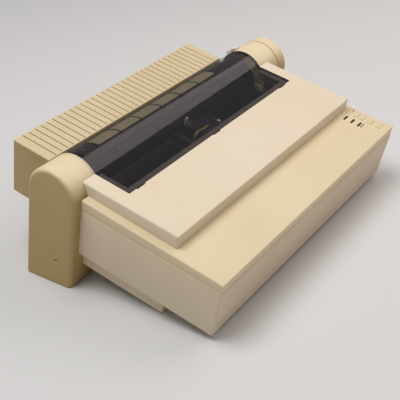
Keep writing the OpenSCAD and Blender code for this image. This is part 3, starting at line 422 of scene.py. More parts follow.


# in rear, lower and housing the last colour is painted shade for upright faces
finishes = {
    "top": mouldedPlastic("Yellowed case plastic", srgb(226, 210, 174), srgb(220, 201, 158)),
    "rear": mouldedPlastic("Deep yellowed case plastic", srgb(214, 196, 158), srgb(206, 186, 144),
                           sideShade=srgb(173, 143, 84)),
    # the lid's bay colour is painted shade inside the window bay
    "lid": mouldedPlastic("Cream lid plastic", srgb(228, 214, 189), srgb(223, 206, 174), bay=srgb(124, 110, 96)),
    "lower": mouldedPlastic("Grey cream case plastic", srgb(218, 201, 173), srgb(209, 189, 157),
                            sideShade=srgb(174, 145, 87), behind=0.045),
    "housing": mouldedPlastic("Old gold case plastic", srgb(229, 211, 172), srgb(222, 201, 156),
                              sideShade=srgb(172, 142, 82)),
    "key": mouldedPlastic("Key plastic", srgb(224, 209, 174), srgb(218, 201, 160)),
    "inner": mouldedPlastic("Paper guide plastic", srgb(202, 184, 144), srgb(190, 170, 130)),
    "guideRib": mouldedPlastic("Brown guide rib plastic", srgb(58, 52, 46), srgb(48, 43, 38), gloss=0.5),
    "smoke": smokedPlastic("Smoked cover plastic", srgb(30, 25, 30), 0.30, 0.09),
    "white": mouldedNylon("Off-white key plastic", srgb(242, 238, 226)),
    "black": mouldedPlastic("Black moulded plastic", srgb(34, 34, 36), srgb(26, 26, 28), gloss=0.5),
    "window": mouldedNylon("Dark lens plastic", srgb(44, 34, 10), 0.42, 0.2),
    "nylon": mouldedNylon("Natural nylon", srgb(222, 216, 198)),
    "rubber": plainRubber("Black rubber", srgb(30, 29, 29)),
    "platen": plainRubber("Ground platen rubber", srgb(44, 42, 46), 0.45),
    "steel": platedSteel("Zinc plated steel", srgb(176, 178, 176), 0.34),
    "darkSteel": platedSteel("Phosphated steel", srgb(74, 74, 76), 0.5),
    "rod": platedSteel("Ground rod steel", srgb(200, 202, 205), 0.18),
    "oiled": platedSteel("Oiled bearing steel", srgb(62, 59, 58), 0.5),
    "brass": platedSteel("Turned brass", srgb(196, 160, 88), 0.3),
    "laminated": platedSteel("Laminated core steel", srgb(92, 90, 90), 0.45, (0.02, 1, 0.02)),
    "winding": mouldedNylon("Varnished winding tape", srgb(150, 96, 44), 0.35),
    "can": platedSteel("Black motor can", srgb(60, 61, 64), 0.42),
    "head": platedSteel("Cast head metal", srgb(84, 82, 82), 0.55, (1, 1, 1)),
    "copper": mouldedNylon("Amber flex film", srgb(160, 132, 66), 0.25),
    "board": circuitBoard("Green circuit board"),
}
print("finishes ready")

carriedOver = {    # nodes that show in their own form, by finish
    "nylon": ["platen_gear", "idler_gear", "tractor_gear"],
    "rubber": ["carriage_belt"],
    "darkSteel": ["paper_pan"],
    "rod": ["platen_shaft", "pinch_shaft", "tractor_drive_shaft", "tractor_guide_shaft"],
    "oiled": ["carriage_guide_rod"],
    "brass": ["feed_pinion"],
}
for finishName, nodeNames in carriedOver.items():
    for nodeName in nodeNames:
        node = frame["nodes"][nodeName]
        node.data.materials.clear()
        node.data.materials.append(finishes[finishName])
        for polygon in node.data.polygons:
            polygon.material_index = 0
print("frame painted")

caseForm = {"halfWidth": 196.0, "depth": 304.0, "frontEnd": 178.7, "rearX": 167.5, "wall": 2.8,
            "frontTop": 11.0, "topRise": 2.6 / 178.7, "lowerDepth": 60.5, "rearDepth": 58.5}


def panelZ(y):
    return caseForm["frontTop"] + caseForm["topRise"] * y


def ringSector(name, x0, x1, inner, outer, low, high, count=128):    # angles count from straight back, upwards
    ring = addArchBar(name, x0, x1, outer, count)
    cutAway(ring, addArchBar("bore", x0 - 1, x1 + 1, inner, count))
    axis, low, high = (0, arch["y"], arch["z"]), math.radians(low), math.radians(high)
    trim(ring, axis, (0, -math.sin(low), math.cos(low)))
    return trim(ring, axis, (0, math.sin(high), -math.cos(high)))


housing = {"outerX": (-206.0, 207.7), "round": (4.5, 2.0), "innerRound": 0.5, "foot": 1.2, "leg": 135,
           "doorway": (184.6, 239.4, -52.9, -0.6), "pinHole": 2.0, "dimple": (201.0, -79.0, 2.4), "dimpleDepth": 1.8,
           "leverSlot": (173.0, 176.6, 29.2, 34.5, 10, 53), "shaftHole": 4.1}


def archPillar(name, x0, x1, inset, outerX=None, outerRound=0.0):
    pillar = addArchBar(name, x0, x1, arch["radius"] - inset, 128)
    trim(pillar, (0, 0, arch["z"]), (0, 0, 1))
    markFaces(pillar, lambda centre, normal: normal.z < -0.99)
    editMesh(pillar, (bpy.ops.mesh.extrude_region_move,
                      {"TRANSFORM_OT_translate": {"value": (0, 0, -housing["leg"] * mm)}}), whole=False)
    tidyFaces(pillar)
    if outerX is not None:
        roundEdges(pillar, atX(outerX), outerRound, 6)
    footZ = (housing["foot"] + inset - slab["shift"][2]) / math.cos(leanTurn)    # level with the table when leaning
    return trim(pillar, (0, 0, footZ), (0, math.sin(leanTurn), math.cos(leanTurn)))


def makeHousing(name, side, nodeName):
    inner, outer, wall = side * caseForm["rearX"], housing["outerX"][side > 0], caseForm["wall"]
    low, high = sorted((inner, outer))
    shell = archPillar(name, low, high, 0, outer, housing["round"][side > 0])
    roundEdges(shell, atX(inner), housing["innerRound"], 2)
    cutAway(shell,
            archPillar("hollow", low + wall, high - wall, wall),
            addBlock("doorway", *sorted((inner - side, inner + side * (wall + 1))), *housing["doorway"]),
            addRound("dimple", *sorted((outer - side * housing["dimpleDepth"], outer + side)), *housing["dimple"], 40),
            addRound("pinHole", *sorted((inner - side, inner + side * wall)), *hinge, housing["pinHole"], 32))
    if side > 0:
        cutAway(shell, ringSector("leverSlot", *housing["leverSlot"]),
                addArchBar("shaftHole", inner - 1, outer + 1, housing["shaftHole"], 48))
    finishCase(shell, "housing", nodeName)


makeHousing("leftHousing", -1, "left_end_housing")
makeHousing("rightHousing", 1, "right_end_housing")
print("housings ready")

lidForm = {"halfWidth": 185.5, "front": 64.0, "back": 195.5, "rough": 215, "top": 27.0, "wall": 2.4, "gap": 0.2,
           "draft": 0.02, "draftFoot": (13, 12), "round": 1.8, "corner": 2.4, "windowY": 141.5, "windowRound": 0.5,
           "ledgeTop": 24.5, "ledgeUnder": 22.3, "ledgeWidth": 8.5, "hollowEnd": 172.7,
           "tabs": (-147, -5, 145), "tabNotch": (7.3, 139.9),
           "armX": (165.7, 167.2), "arm": (29.4, 33, 20, 160), "archGap": 33.3, "hub": 4.5, "pinHole": 2.1,
           "skirt": (164.7, 190, 13.9), "skirtGap": 31.5}


def makeLid():
    x, front, top, wall, windowY = (lidForm[key] for key in ("halfWidth", "front", "top", "wall", "windowY"))
    under, over, ledge, rough = lidForm["ledgeUnder"], lidForm["ledgeTop"], lidForm["ledgeWidth"], lidForm["rough"]
    armIn, armOut = lidForm["armX"]
    lid = addWide("frontLid", x, front, rough, 5, top)
    trim(lid, (0, 0, panelZ(0) + lidForm["gap"]), (0, -caseForm["topRise"], 1))
    sideFoot, frontFoot = lidForm["draftFoot"]
    for side in (-1, 1):
        trim(lid, (side * x, 0, sideFoot), (-side, 0, -lidForm["draft"]))
    trim(lid, (0, front, frontFoot), (0, 1, -lidForm["draft"]))
    roundEdges(lid, lambda a, b: min(a.z, b.z) > top - touch and (max(a.y, b.y) < front + 2 or abs(a.x - b.x) < touch)
               and abs(a.y - rough) + abs(b.y - rough) > 1, lidForm["round"], 5)
    roundEdges(lid, upright(8, front + 3), lidForm["corner"], 4)
    cutAway(lid,
            addArchBar("archClearance", -x - 5, x + 5, lidForm["archGap"], 160),
            addWide("behind", x + 5, lidForm["back"], farY, -5, farZ),
            addWide("hollow", x - wall, front + wall, windowY - 2, 0, top - wall),
            addWide("rearHollow", x - wall, windowY - 2.5, lidForm["hollowEnd"], 0, under),
            addWide("recess", armIn, windowY, farY, over, farZ),
            addWide("opening", armIn - ledge, windowY + ledge, farY, 0, farZ))
    for tab in lidForm["tabs"]:
        notch, reachY = lidForm["tabNotch"]
        cutAway(lid, addBlock("tabNotch", tab - notch, tab + notch, reachY, windowY + 1, over, farZ))
    roundEdges(lid, lambda a, b: min(a.z, b.z) > top - touch
               and (max(abs(a.y - windowY), abs(b.y - windowY)) < touch
                    or max(abs(abs(a.x) - armIn), abs(abs(b.x) - armIn)) < touch), lidForm["windowRound"], 2)
    for side in (-1, 1):
        low, high = sorted((side * armIn, side * armOut))
        arm = ringSector("arm", low, high, *lidForm["arm"])
        weld(arm, addRound("hub", low, high, *hinge, lidForm["hub"], 48))
        start, end, foot = lidForm["skirt"]
        skirt = addBlock("skirt", low, high, start, end, foot, top - wall)
        cutAway(skirt, addArchBar("armClearance", low - 1, high + 1, lidForm["skirtGap"], 128))
        weld(arm, skirt)
        cutAway(arm, addRound("pinHole", low - 1, high + 1, *hinge, lidForm["pinHole"], 32))
        weld(lid, arm)
    finishPiece(lid, "lid", "lid", "front_lid", angle=28)


makeLid()
print("lid ready")

coverForm = {"halfWidth": 165.4, "inner": 30.6, "outer": 32.6, "under": 24.8, "top": 26.8, "front": 141.8, "low": 17,
             "tongue": (7, 140.2), "tongueRound": 1.2, "ear": 4.2, "earWidth": 2.4, "pinHole": 2.1}


def makeCover():
    x, inner, outer, under = (coverForm[key] for key in ("halfWidth", "inner", "outer", "under"))
    top, front, (tongueHalf, tongueY) = coverForm["top"], coverForm["front"], coverForm["tongue"]
    height = top - arch["z"]
    cover = ringSector("smokedCover", -x, x, inner, outer, coverForm["low"],
                       180 - math.degrees(math.asin(height / outer)), 192)
    flat = addWide("flat", x, front, arch["y"] - math.sqrt(outer ** 2 - height ** 2) + 1.2, under, top)
    cutAway(flat, addArchBar("bore", -x - 1, x + 1, inner + 0.4, 192))
    for tab in lidForm["tabs"]:
        tongue = addBlock("tongue", tab - tongueHalf, tab + tongueHalf, tongueY, front + 1, under, top)
        weld(flat, roundEdges(tongue, upright(1, front - 1), coverForm["tongueRound"], 3))
    weld(cover, flat)
    for side in (-1, 1):
        low, high = sorted((side * x, side * (x - coverForm["earWidth"])))
        weld(cover, addRound("ear", low, high, *hinge, coverForm["ear"], 48))
        cutAway(cover, addRound("earHole", low - 1, high + 1, *hinge, coverForm["pinHole"], 32))
    finishPiece(cover, "cover", "smoke", "smoked_cover", angle=28)


makeCover()
print("cover ready")

controls = {"keys": {"selectKey": ("select_key", "key_select", 47),
                     "lineFeedKey": ("line_feed_key", "key_line_feed", 38.5),
                     "formFeedKey": ("form_feed_key", "key_form_feed", 27),
                     "printQualityKey": ("print_quality_key", "key_print_quality", 14)},
            "keyX": (177.0, 190.0), "keyHalf": 3.0, "keyGap": 0.1, "rocker": 57.0, "rockerGap": 0.15,
            "lensX": (160.0, 171.5), "lenses": ((54, 1.5), (44, 1.5), (34.3, 1.5), (30.3, 0.6))}    # y and half width

topForm = {"raw": 20, "shoulder": 1.9, "drawnIn": 0.7, "drawnOver": 14, "corner": 1.6, "seam": 0.2,
           "bay": (164.7, 80.0)}


def makeTopPanel():
    x, end, wall = caseForm["halfWidth"], caseForm["frontEnd"], caseForm["wall"]
    drawnIn = topForm["drawnIn"]
    slope = drawnIn / topForm["drawnOver"]
    panel = addWide("topPanel", x, 0, end, 0, topForm["raw"])
    trim(panel, (0, 0, panelZ(0)), (0, caseForm["topRise"], -1))
    trim(panel, (0, drawnIn, 0), (0, 1, slope))
    for side in (-1, 1):
        trim(panel, (side * (x - drawnIn), 0, 0), (-side, 0, slope))
    roundEdges(panel, lambda a, b: min(a.z, b.z) > 8 and (max(a.y, b.y) < 1 or abs(a.x - b.x) < 0.2),
               topForm["shoulder"], 6)
    roundEdges(panel, upright(5, 4), topForm["corner"], 4)
    roundEdges(panel, lambda a, b: max(a.z, b.z) < touch and min(a.y, b.y) < end - 1, topForm["seam"], 2)
    hollow = addWide("hollow", x - wall, wall, end - wall, -5, topForm["raw"])
    trim(hollow, (0, 0, panelZ(0) - wall), (0, caseForm["topRise"], -1))
    cutAway(panel, hollow, addWide("bay", *topForm["bay"], farY, -1, farZ))
    (x0, x1), half = controls["keyX"], controls["keyHalf"]
    holes = [(y, controls["keyGap"]) for node, body, y in controls["keys"].values()]
    for y, gap in (*holes, (controls["rocker"], controls["rockerGap"])):
        cutAway(panel, addBlock("keyHole", x0 - gap, x1 + gap, y - half - gap, y + half + gap, 0, farZ))
    for y, half in controls["lenses"]:
        cutAway(panel, addBlock("lensHole", *controls["lensX"], y - half, y + half, 0, farZ))
    finishCase(panel, "top", "top_case")


makeTopPanel()
print("top panel ready")

lowerForm = {"lip": 0.35, "corner": 2.2, "under": 2.0, "draftIn": 1.6, "rearRound": 1.2,
             "paperSlot": (-125, 125, -24, -14), "inletHole": (-140, -112, -50.5, -29.5), "socketHole": (120, -40, 7),
             "shaftNotch": 7, "motorRegister": (-22.05, 11.06)}


def makeLowerCase():
    x, end, wall = caseForm["halfWidth"], caseForm["frontEnd"], caseForm["wall"]
    rearX, depth, rear, rearEnd = (caseForm[key] for key in ("rearX", "lowerDepth", "rearDepth", "depth"))
    shell = addWide("lowerCase", x, 0, end, -depth, 0)
    trim(shell, (0, 0, 0), (0, 1, lowerForm["draftIn"] / depth))
    roundEdges(shell, upright(5, 4), lowerForm["corner"], 5)
    roundEdges(shell, lambda a, b: max(a.z, b.z) < 1 - depth and min(a.y, b.y) < end - 1, lowerForm["under"], 4)
    roundEdges(shell, lambda a, b: min(a.z, b.z) > -touch and min(a.y, b.y) < end - 1, lowerForm["lip"], 2)
    rearBox = addWide("rearBox", rearX, end - 2 * wall, rearEnd, -rear, 0)
    roundEdges(rearBox, lambda a, b: min(a.y, b.y) > rearEnd - 0.1 and max(a.z, b.z) < 1, lowerForm["rearRound"], 3)
    weld(shell, rearBox)
    back = (rearEnd - wall - 1, rearEnd + 1)
    slot, inlet, (socketX, socketZ, socket) = lowerForm["paperSlot"], lowerForm["inletHole"], lowerForm["socketHole"]
    cutAway(shell,
            addWide("hollow", x - wall, lowerForm["draftIn"] + wall, end - wall, wall - depth, 5),
            addWide("rearHollow", rearX - wall, end - 2 * wall - 1, rearEnd - wall, wall - rear, 5),
            addBlock("paperSlot", *slot[:2], *back, *slot[2:]),
            addBlock("inletHole", *inlet[:2], *back, *inlet[2:]),
            addLengthwise("socketHole", socketX, socketZ, *back, socket),
            addArchBar("shaftNotch", rearX - wall - 1, rearX + 1, lowerForm["shaftNotch"], 64),
            addRound("motorRegister", -rearX - 1, wall + 1 - rearX, arch["y"], *lowerForm["motorRegister"], 64))
    finishCase(shell, "lower", "lower_case")


makeLowerCase()
print("lower case ready")

panForm = {"halfWidth": 187.0, "front": 68.0, "back": 240.0, "under": -82.0, "corner": 2.5, "round": 1.4,
           "screws": ((165, 80), (150, 226)), "screwHole": 3}


def makePan():
    x, end, rearX = panForm["halfWidth"], caseForm["frontEnd"], caseForm["rearX"]
    front, back, under, wall = panForm["front"], panForm["back"], panForm["under"], caseForm["wall"]
    pan = addWide("basePan", x, front, end, under, -caseForm["lowerDepth"])
    roundEdges(pan, upright(5, front + 1), panForm["corner"], 4)
    weld(pan, addWide("tail", rearX, end - 1, back, under, -caseForm["rearDepth"]))
    roundEdges(pan, lambda a, b: max(a.z, b.z) < under + touch, panForm["round"], 3)
    cutAway(pan,
            addWide("hollow", x - wall, front + wall, end - wall, under + wall, -20),
            addWide("tailHollow", rearX - wall, end - wall - 1, back - wall, under + wall, -20))
    for across, along in panForm["screws"]:
        for side in (-1, 1):
            hole = addUpright("screwHole", side * across, along, under - 1, under + wall + 1, panForm["screwHole"], 32)
            cutAway(pan, hole)
    finishCase(pan, "lower", "base_pan")


makePan()
print("base pan ready")

deckForm = {"front": 250.3, "frameFront": 245.3, "top": 12.0, "under": 8.0, "thick": 2.4, "corner": 1.2, "round": 1.1,
            "slots": 33, "pitch": 9.66, "slotHalf": 0.575, "slotRound": 0.5, "margin": 1.4}


def makeDeck():
    rearX, depth, wall = caseForm["rearX"], caseForm["depth"], caseForm["wall"]
    front, frameFront, under, top = (deckForm[key] for key in ("front", "frameFront", "under", "top"))
    rim = addWide("rearFrame", rearX, frameFront, depth, 0, under)
    roundEdges(rim, upright(5, behind=depth - 1), deckForm["corner"], 3)
    cutAway(rim,
            addWide("paperGap", rearX - wall, frameFront - 1, front, -1, farZ),
            addWide("well", rearX - wall, front + wall, depth - wall, -1, farZ))
    finishCase(rim, "rear", "rear_frame")
    deck = addWide("rearDeck", rearX, front, depth, under, top)
    roundEdges(deck, upright(3, behind=depth - 1), deckForm["corner"], 3)
    roundEdges(deck, atTop(top), deckForm["round"], 4)
    cutAway(deck, addWide("underWell", rearX - wall, front + wall, depth - wall, under - 1, top - deckForm["thick"]))
    slots, pitch, half, margin = (deckForm[key] for key in ("slots", "pitch", "slotHalf", "margin"))
    first = (1 - slots) / 2 * pitch
    comb = addBlock("slotComb", first - half, first + half, front + margin, depth - margin, under - 1, 20)
    roundEdges(comb, upright(3), deckForm["slotRound"], 3)
    cutAway(deck, repeatPiece(comb, slots, (pitch, 0, 0)))
    finishCase(deck, "rear", "rear_deck")


makeDeck()
print("deck ready")

knobForm = {"x": (208.0, 226.0), "radius": 33.0, "round": 2.6, "seam": 0.3, "rim": 6.5, "dish": (2.0, -2.0),
            "cavity": (30, 7), "hub": (8, 2), "bore": (4, 5)}


def makeKnob():
    (x0, x1), radius, (hubRadius, hubStart) = knobForm["x"], knobForm["radius"], knobForm["hub"]
    (cavityRadius, cavityWall), (boreRadius, boreWall) = knobForm["cavity"], knobForm["bore"]
    knob = addArchBar("platenKnob", x0, x1, radius, 128)
    insetFaces(knob, lambda centre, normal: normal.x > 0.99, (knobForm["rim"], 0), knobForm["dish"])
    roundEdges(knob, lambda a, b: min(a.x, b.x) > x1 - touch and min(reach(a), reach(b)) > radius - 0.1,
               knobForm["round"], 6)
    roundEdges(knob, lambda a, b: max(a.x, b.x) < x0 + touch, knobForm["seam"], 2)
    cavity = addArchBar("cavity", x0 - 1, x1 - cavityWall, cavityRadius)
    cutAway(cavity, addArchBar("hub", x0 + hubStart, x1, hubRadius, 64))
    cutAway(knob, cavity, addArchBar("bore", x0 - 1, x1 - boreWall, boreRadius, 48))
    finishPiece(knob, "platen_roll", "housing", "platen_knob", angle=28)


makeKnob()
print("knob ready")

keyForm = {"under": 1.6, "rise": 0.8, "corner": 0.5, "round": 0.3,
           "stem": (181.0, 186.0, 1.5, -2.4), "dish": (0.2, 60, 0.7)}


def makeKeys():
    x0, x1, wide, foot = keyForm["stem"]
    depth, radius, rim = keyForm["dish"]
    half, under = controls["keyHalf"], keyForm["under"]
    for name, (nodeName, body, y) in controls["keys"].items():
        top = panelZ(y) + keyForm["rise"]
        key = addBlock(name, *controls["keyX"], y - half, y + half, under, top)
        roundEdges(key, upright(3), keyForm["corner"], 3)
        roundEdges(key, atTop(top), keyForm["round"], 3)
        cutAway(key, addLengthwise("dish", sum(controls["keyX"]) / 2, top - depth + radius,
                                   y - half + rim, y + half - rim, radius, 240))
        weld(key, addBlock("stem", x0, x1, y - wide, y + wide, foot, under + 1))
        finishPiece(key, body, "key", nodeName)


makeKeys()

rockerForm = {"x": (177.6, 183.5, 187.6, 189.0), "under": 6.5, "rise": (0.4, 3.2, 6.0), "round": 0.45,
              "tip": (186.7, 54.2, 57.0), "tipSlope": 1.6, "tipRound": 0.35, "pin": (8.5, 3.2, 1.5)}


def makeRocker():
    (x0, middle, x1, end), under = rockerForm["x"], rockerForm["under"]
    y, half = controls["rocker"], controls["keyHalf"]
    z, (low, high, peak) = panelZ(y), rockerForm["rise"]
    rocker = addBlock("powerRocker", x0, middle + 0.5, y - half, y + half, under, z + low)
    trim(rocker, (x0, y, z), (low / (middle - x0), 0, -1))
    raised = addBlock("raised", middle, end, y - half, y + half, under, z + high)
    trim(raised, (middle, y, z + low), ((high - low) / (x1 - middle), 0, -1))
    weld(rocker, raised)
    soften(tidyFaces(rocker), rockerForm["round"], 3, 20)
    pinZ, pinHalf, pinRadius = rockerForm["pin"]
    weld(rocker, addLengthwise("pin", middle, pinZ, y - pinHalf, y + pinHalf, pinRadius, 32))
    finishPiece(rocker, "rocker", "key", "power_rocker")
    # painted highlight: a white cap on the rocker's raised end, where the beige rocker catches the light
    start, near, far = rockerForm["tip"]
    tip = addBlock("rockerHighlightTip", start, end - 0.1, near, far, z + 1.5, z + peak)
    trim(tip, (start, y, z + high + 1.0), (rockerForm["tipSlope"], 0, -1))
    soften(tidyFaces(tip), rockerForm["tipRound"], 3, 20)
    finishPiece(tip, "rocker", "white", "power_rocker")


makeRocker()

lensForm = {"thick": 2.4, "sunk": 0.4, "round": 0.35}


def makeLenses():
    lenses = []
    for y, half in controls["lenses"]:
        top = panelZ(y) - lensForm["sunk"]
        lens = addBlock("lens", *controls["lensX"], y - half, y + half, top - lensForm["thick"], top)
        lenses.append(roundEdges(lens, atTop(top), lensForm["round"], 2))
    finishPiece(gather("indicatorLenses", lenses), "case", "window", "indicator_windows")


makeLenses()
print("controls ready")

guideForm = {"halfWidth": 155.0, "inner": 27.2, "skin": 28.4, "turn": (36, 97), "leg": (232.0, 234.0, -8.0, 20.6),
             "lip": ((208.95, 33.04), (209.16, 31.05), (206.89, 26.12), (205.53, 27.32)),
             "ribs": [-131 + 37.8 * i for i in range(7)], "ribHalf": 0.8, "ribTop": 29.9, "ribRound": 0.35,
             "pad": 29.2, "padTurn": (40, 86), "padGap": 1.0, "padCorner": 2.6,
             "screw": (-147.5, 72, 1.7), "recess": (1.2, 0.25, 0.4)}


def convexBar(name, x0, x1, corners):    # a bar along X whose section has these corners, as y and z
    ys, zs = zip(*corners)
    middle = (sum(ys) / len(ys), sum(zs) / len(zs))
    bar = addBlock(name, x0, x1, min(ys) - 1, max(ys) + 1, min(zs) - 1, max(zs) + 1)
    for (ya, za), (yb, zb) in zip(corners, corners[1:] + corners[:1]):
        normal = (0, zb - za, ya - yb)
        if normal[1] * (middle[0] - ya) + normal[2] * (middle[1] - za) < 0:
            normal = (0, -normal[1], -normal[2])
        trim(bar, (x0, ya, za), normal)
    return bar


def makeGuide():
    half, skin, ribHalf, ribTop, pad = (guideForm[key] for key in ("halfWidth", "skin", "ribHalf", "ribTop", "pad"))
    low, high = guideForm["turn"]
    carrier = ringSector("guideCarrier", -half, half, guideForm["inner"], skin, low, high, 160)
    weld(carrier, addWide("leg", half, *guideForm["leg"]), convexBar("lip", -half, half, guideForm["lip"]))
    for x in guideForm["ribs"]:
        rib = ringSector("rib", x - ribHalf, x + ribHalf, skin - 0.4, ribTop, low, high + 1, 160)
        weld(carrier, roundEdges(rib, lambda a, b: min(reach(a), reach(b)) > ribTop - 0.1 and abs(a.x - b.x) < touch,
                                 guideForm["ribRound"], 2))
    finishPiece(carrier, "case", "guideRib", "paper_guide")
    pads, gap = [], guideForm["padGap"]
    for left, right in zip(guideForm["ribs"], guideForm["ribs"][1:]):
        plate = ringSector("pad", left + gap, right - gap, skin - 0.3, pad, *guideForm["padTurn"], 160)
        pads.append(roundEdges(plate, lambda a, b: abs(a.x - b.x) < touch and abs(reach(a) - reach(b)) > 0.3,
                               guideForm["padCorner"], 4))
    finishPiece(gather("guidePads", pads), "case", "inner", "paper_guide")
    (x, angle, radius), (wide, long, deep) = guideForm["screw"], guideForm["recess"]
    y, top = arch["y"], arch["z"] + pad
    screw = addUpright("guideScrew", x, y, arch["z"] + skin - 1, top, radius, 32)
    roundEdges(screw, atTop(top), guideForm["ribRound"], 2)
    cutAway(screw, addStud("recess", x, y, top - deep, farZ, wide, long))
    pick(screw)
    bpy.ops.transform.rotate(value=math.radians(90 - angle), orient_axis="X",
                             center_override=(0, y * mm, arch["z"] * mm))
    bpy.ops.object.transform_apply(location=True, rotation=True, scale=True)
    finishPiece(screw, "case", "steel", "paper_guide")


makeGuide()
print("paper guide ready")

cartridgeForm = {"centre": 10.0, "half": 48.0, "y": (106.0, 150.0), "top": 16.0, "corner": 6, "groove": (2.4, 0.7, 0.9),
                 "horn": (27.0, 34.0, 194.4, 10.0), "hornSlopes": (16, -0.22, 14, -0.25),
                 "ribbon": (29.0, 194.4, 194.8, 0.4, 9.0), "knob": (30.0, 122.0, 7.0, 19.0), "flute": (0.25, -0.5),
                 "grip": (1, 5.5), "clip": (38.9, 165.0, 9.2, 12.0)}


def makeCartridge():
    c, half, (y0, y1), top = (cartridgeForm[key] for key in ("centre", "half", "y", "top"))
    body = addBlock("ribbonCartridge", c - half, c + half, y0, y1, 0, top)
    roundEdges(body, upright(5), cartridgeForm["corner"], 6)
    margin, width, depth = cartridgeForm["groove"]
    insetFaces(body, lambda centre, normal: normal.z > 0.9, (margin, 0), (width, -depth), (width, depth))
    soften(body, 0.5, 2, 60)
    inner, outer, tip, height = cartridgeForm["horn"]
    sideStart, sideSlope, topStart, topSlope = cartridgeForm["hornSlopes"]
    for side in (-1, 1):
        horn = addBlock("horn", *sorted((c + side * inner, c + side * outer)), y1 - 1, tip, 0, height)
        trim(horn, (c + side * outer, tip - sideStart, 0), (-side, sideSlope, 0))
        trim(horn, (c, tip - topStart, height), (0, topSlope, -1))
        weld(body, soften(horn, 0.6, 2, 30))
    x, y, radius, peak = cartridgeForm["knob"]
    knob = addUpright("knob", c + x, y, top - 1, peak - 1.2, radius, 24)
    insetFaces(knob, lambda centre, normal: abs(normal.z) < 0.1    # every other face becomes a flute
               and int(round(math.degrees(math.atan2(normal.y, normal.x)) / 15 - 0.5)) % 2 == 0,
               cartridgeForm["flute"], single=True)
    wide, long = cartridgeForm["grip"]
    weld(knob, addStud("grip", c + x, y, peak - 2, peak, wide, long))
    weld(body, knob)
    finishPiece(body, "carriage_set", "black", "ribbon_cartridge")
    wide, near, far, low, high = cartridgeForm["ribbon"]
    ribbon = soften(addBlock("inkRibbon", c - wide, c + wide, near, far, low, high), 0.08, 1)
    finishPiece(ribbon, "carriage_set", "rubber", "ribbon_cartridge")
    x, y, low, high = cartridgeForm["clip"]
    clip = soften(addStud("ribbonClip", x, y, low, high, 1.2, 2.4), 0.5, 3)
    finishPiece(clip, "carriage_set", "white", "ribbon_cartridge")


makeCartridge()

headForm = {"centre": 10.0, "half": 17.0, "y": (152.0, 180.0), "under": -9.0, "top": 17.0, "corner": 2.5, "round": 0.8,
            "fins": 6, "finPitch": 4, "finGap": (3, 5), "finFloor": 8.0, "neck": (9.0, 9.2),
            "nose": (5, 8.2, 14.2, -1, 8), "noseSlope": (10, -0.45), "shield": (4.5, 9.5, 190.2, 192.2, 7.0),
            "shieldRound": 1.4}


def makeHead():
    c, half, (y0, y1), under, top = (headForm[key] for key in ("centre", "half", "y", "under", "top"))
    head = addBlock("printHead", c - half, c + half, y0, y1, under, top)
    roundEdges(head, upright(5), headForm["corner"], 4)
    roundEdges(head, atTop(top), headForm["round"], 2)
    gapStart, gapEnd = headForm["finGap"]
    comb = addBlock("comb", c - half - 1, c + half + 1, y0 + gapStart, y0 + gapEnd, headForm["finFloor"], top + 5)
    cutAway(head, repeatPiece(comb, headForm["fins"], (0, headForm["finPitch"], 0)))
    radius, neckEnd = headForm["neck"]
    neck = soften(addLengthwise("neck", c, arch["z"], y1 - 1, y1 + neckEnd, radius, 64), 1.0, 3, 60)
    wide, near, far, low, high = headForm["nose"]
    start, slope = headForm["noseSlope"]
    nose = addBlock("nose", c - wide, c + wide, y1 + near, y1 + far, low, high)
    for side in (1, -1):
        trim(nose, (c + side * wide, y1 + start, 0), (-side, slope, 0))
    weld(neck, soften(nose, 0.4, 2, 25))
    weld(head, neck)
    x0, x1, near, far, foot = headForm["shield"]
    shield = addBlock("ribbonShield", x0, x1, near, far, foot, top)
    roundEdges(shield, lambda a, b: min(a.z, b.z) > top - touch and abs(a.x - b.x) < touch, headForm["shieldRound"], 3)
    finishPiece(soften(shield, 0.25, 2), "carriage_set", "white", "print_head")
    finishPiece(head, "carriage_set", "head", "print_head")


makeHead()
print("carriage set ready")

screwForm = {"chassis": [(x, y, -56.0, -48.5, 2.0) for x in (-120, 120) for y in (108, 190, 274)],    # tip, seat, head
             "pan": [(x, y, -53.5, -78.2, -2.2) for x, y in ((-165, 80), (165, 80), (-150, 226), (150, 226))],
             "shank": 1.5, "head": 3.0, "round": 0.8, "recess": (0.45, 1.9), "recessDepth": 0.9}


def makeScrews():
    screws, (narrow, wide), deep = [], screwForm["recess"], screwForm["recessDepth"]
    for x, y, tip, seat, tall in screwForm["chassis"] + screwForm["pan"]:
        top, root = seat + tall, seat + tall / 4
        cap = addUpright("cap", x, y, min(seat, top), max(seat, top), screwForm["head"], 40)
        roundEdges(cap, lambda a, b: max(abs(a.z - top), abs(b.z - top)) < touch, screwForm["round"], 3)
        for across, along in ((narrow, wide), (wide, narrow)):
            cutAway(cap, addStud("recess", x, y, top - deep, top + deep, across, along))
        screws.append(weld(cap, addUpright("shank", x, y, min(tip, root), max(tip, root), screwForm["shank"], 24)))
    finishPiece(gather("machineScrews", screws), "case", "steel", "machine_screws")


makeScrews()

boardForm = {"board": (-130.0, 110.0, 84.0, 224.0, -75.2), "thick": 1.6, "corner": 3.0, "fixings": (6.0, 1.7),
             "chips": [(-100.0 + 40 * i, 108.0, 28.0) for i in range(5)]
             + [(-91.6 + 48 * i, 144.0, 36.4) for i in range(4)],
             "chip": (12.0, 5.0, 0.5), "chipInset": 1.3, "leg": (1.0, 1.6, 3.0), "pitch": 2.54,
             "resistors": [(-110.0 + 9 * i, 178.0) for i in range(12)],
             "resistor": (1.3, 3.2, 1.25), "lead": (1.0, 5, 0.35),
             "header": (-20.0, 34.0, 206.0, 213.0, -66.0), "capacitor": (82.0, 180.0, 7.0, -65.3),
             "canRim": ((1.4, 0), (0.3, -0.4)), "canRound": 0.6}


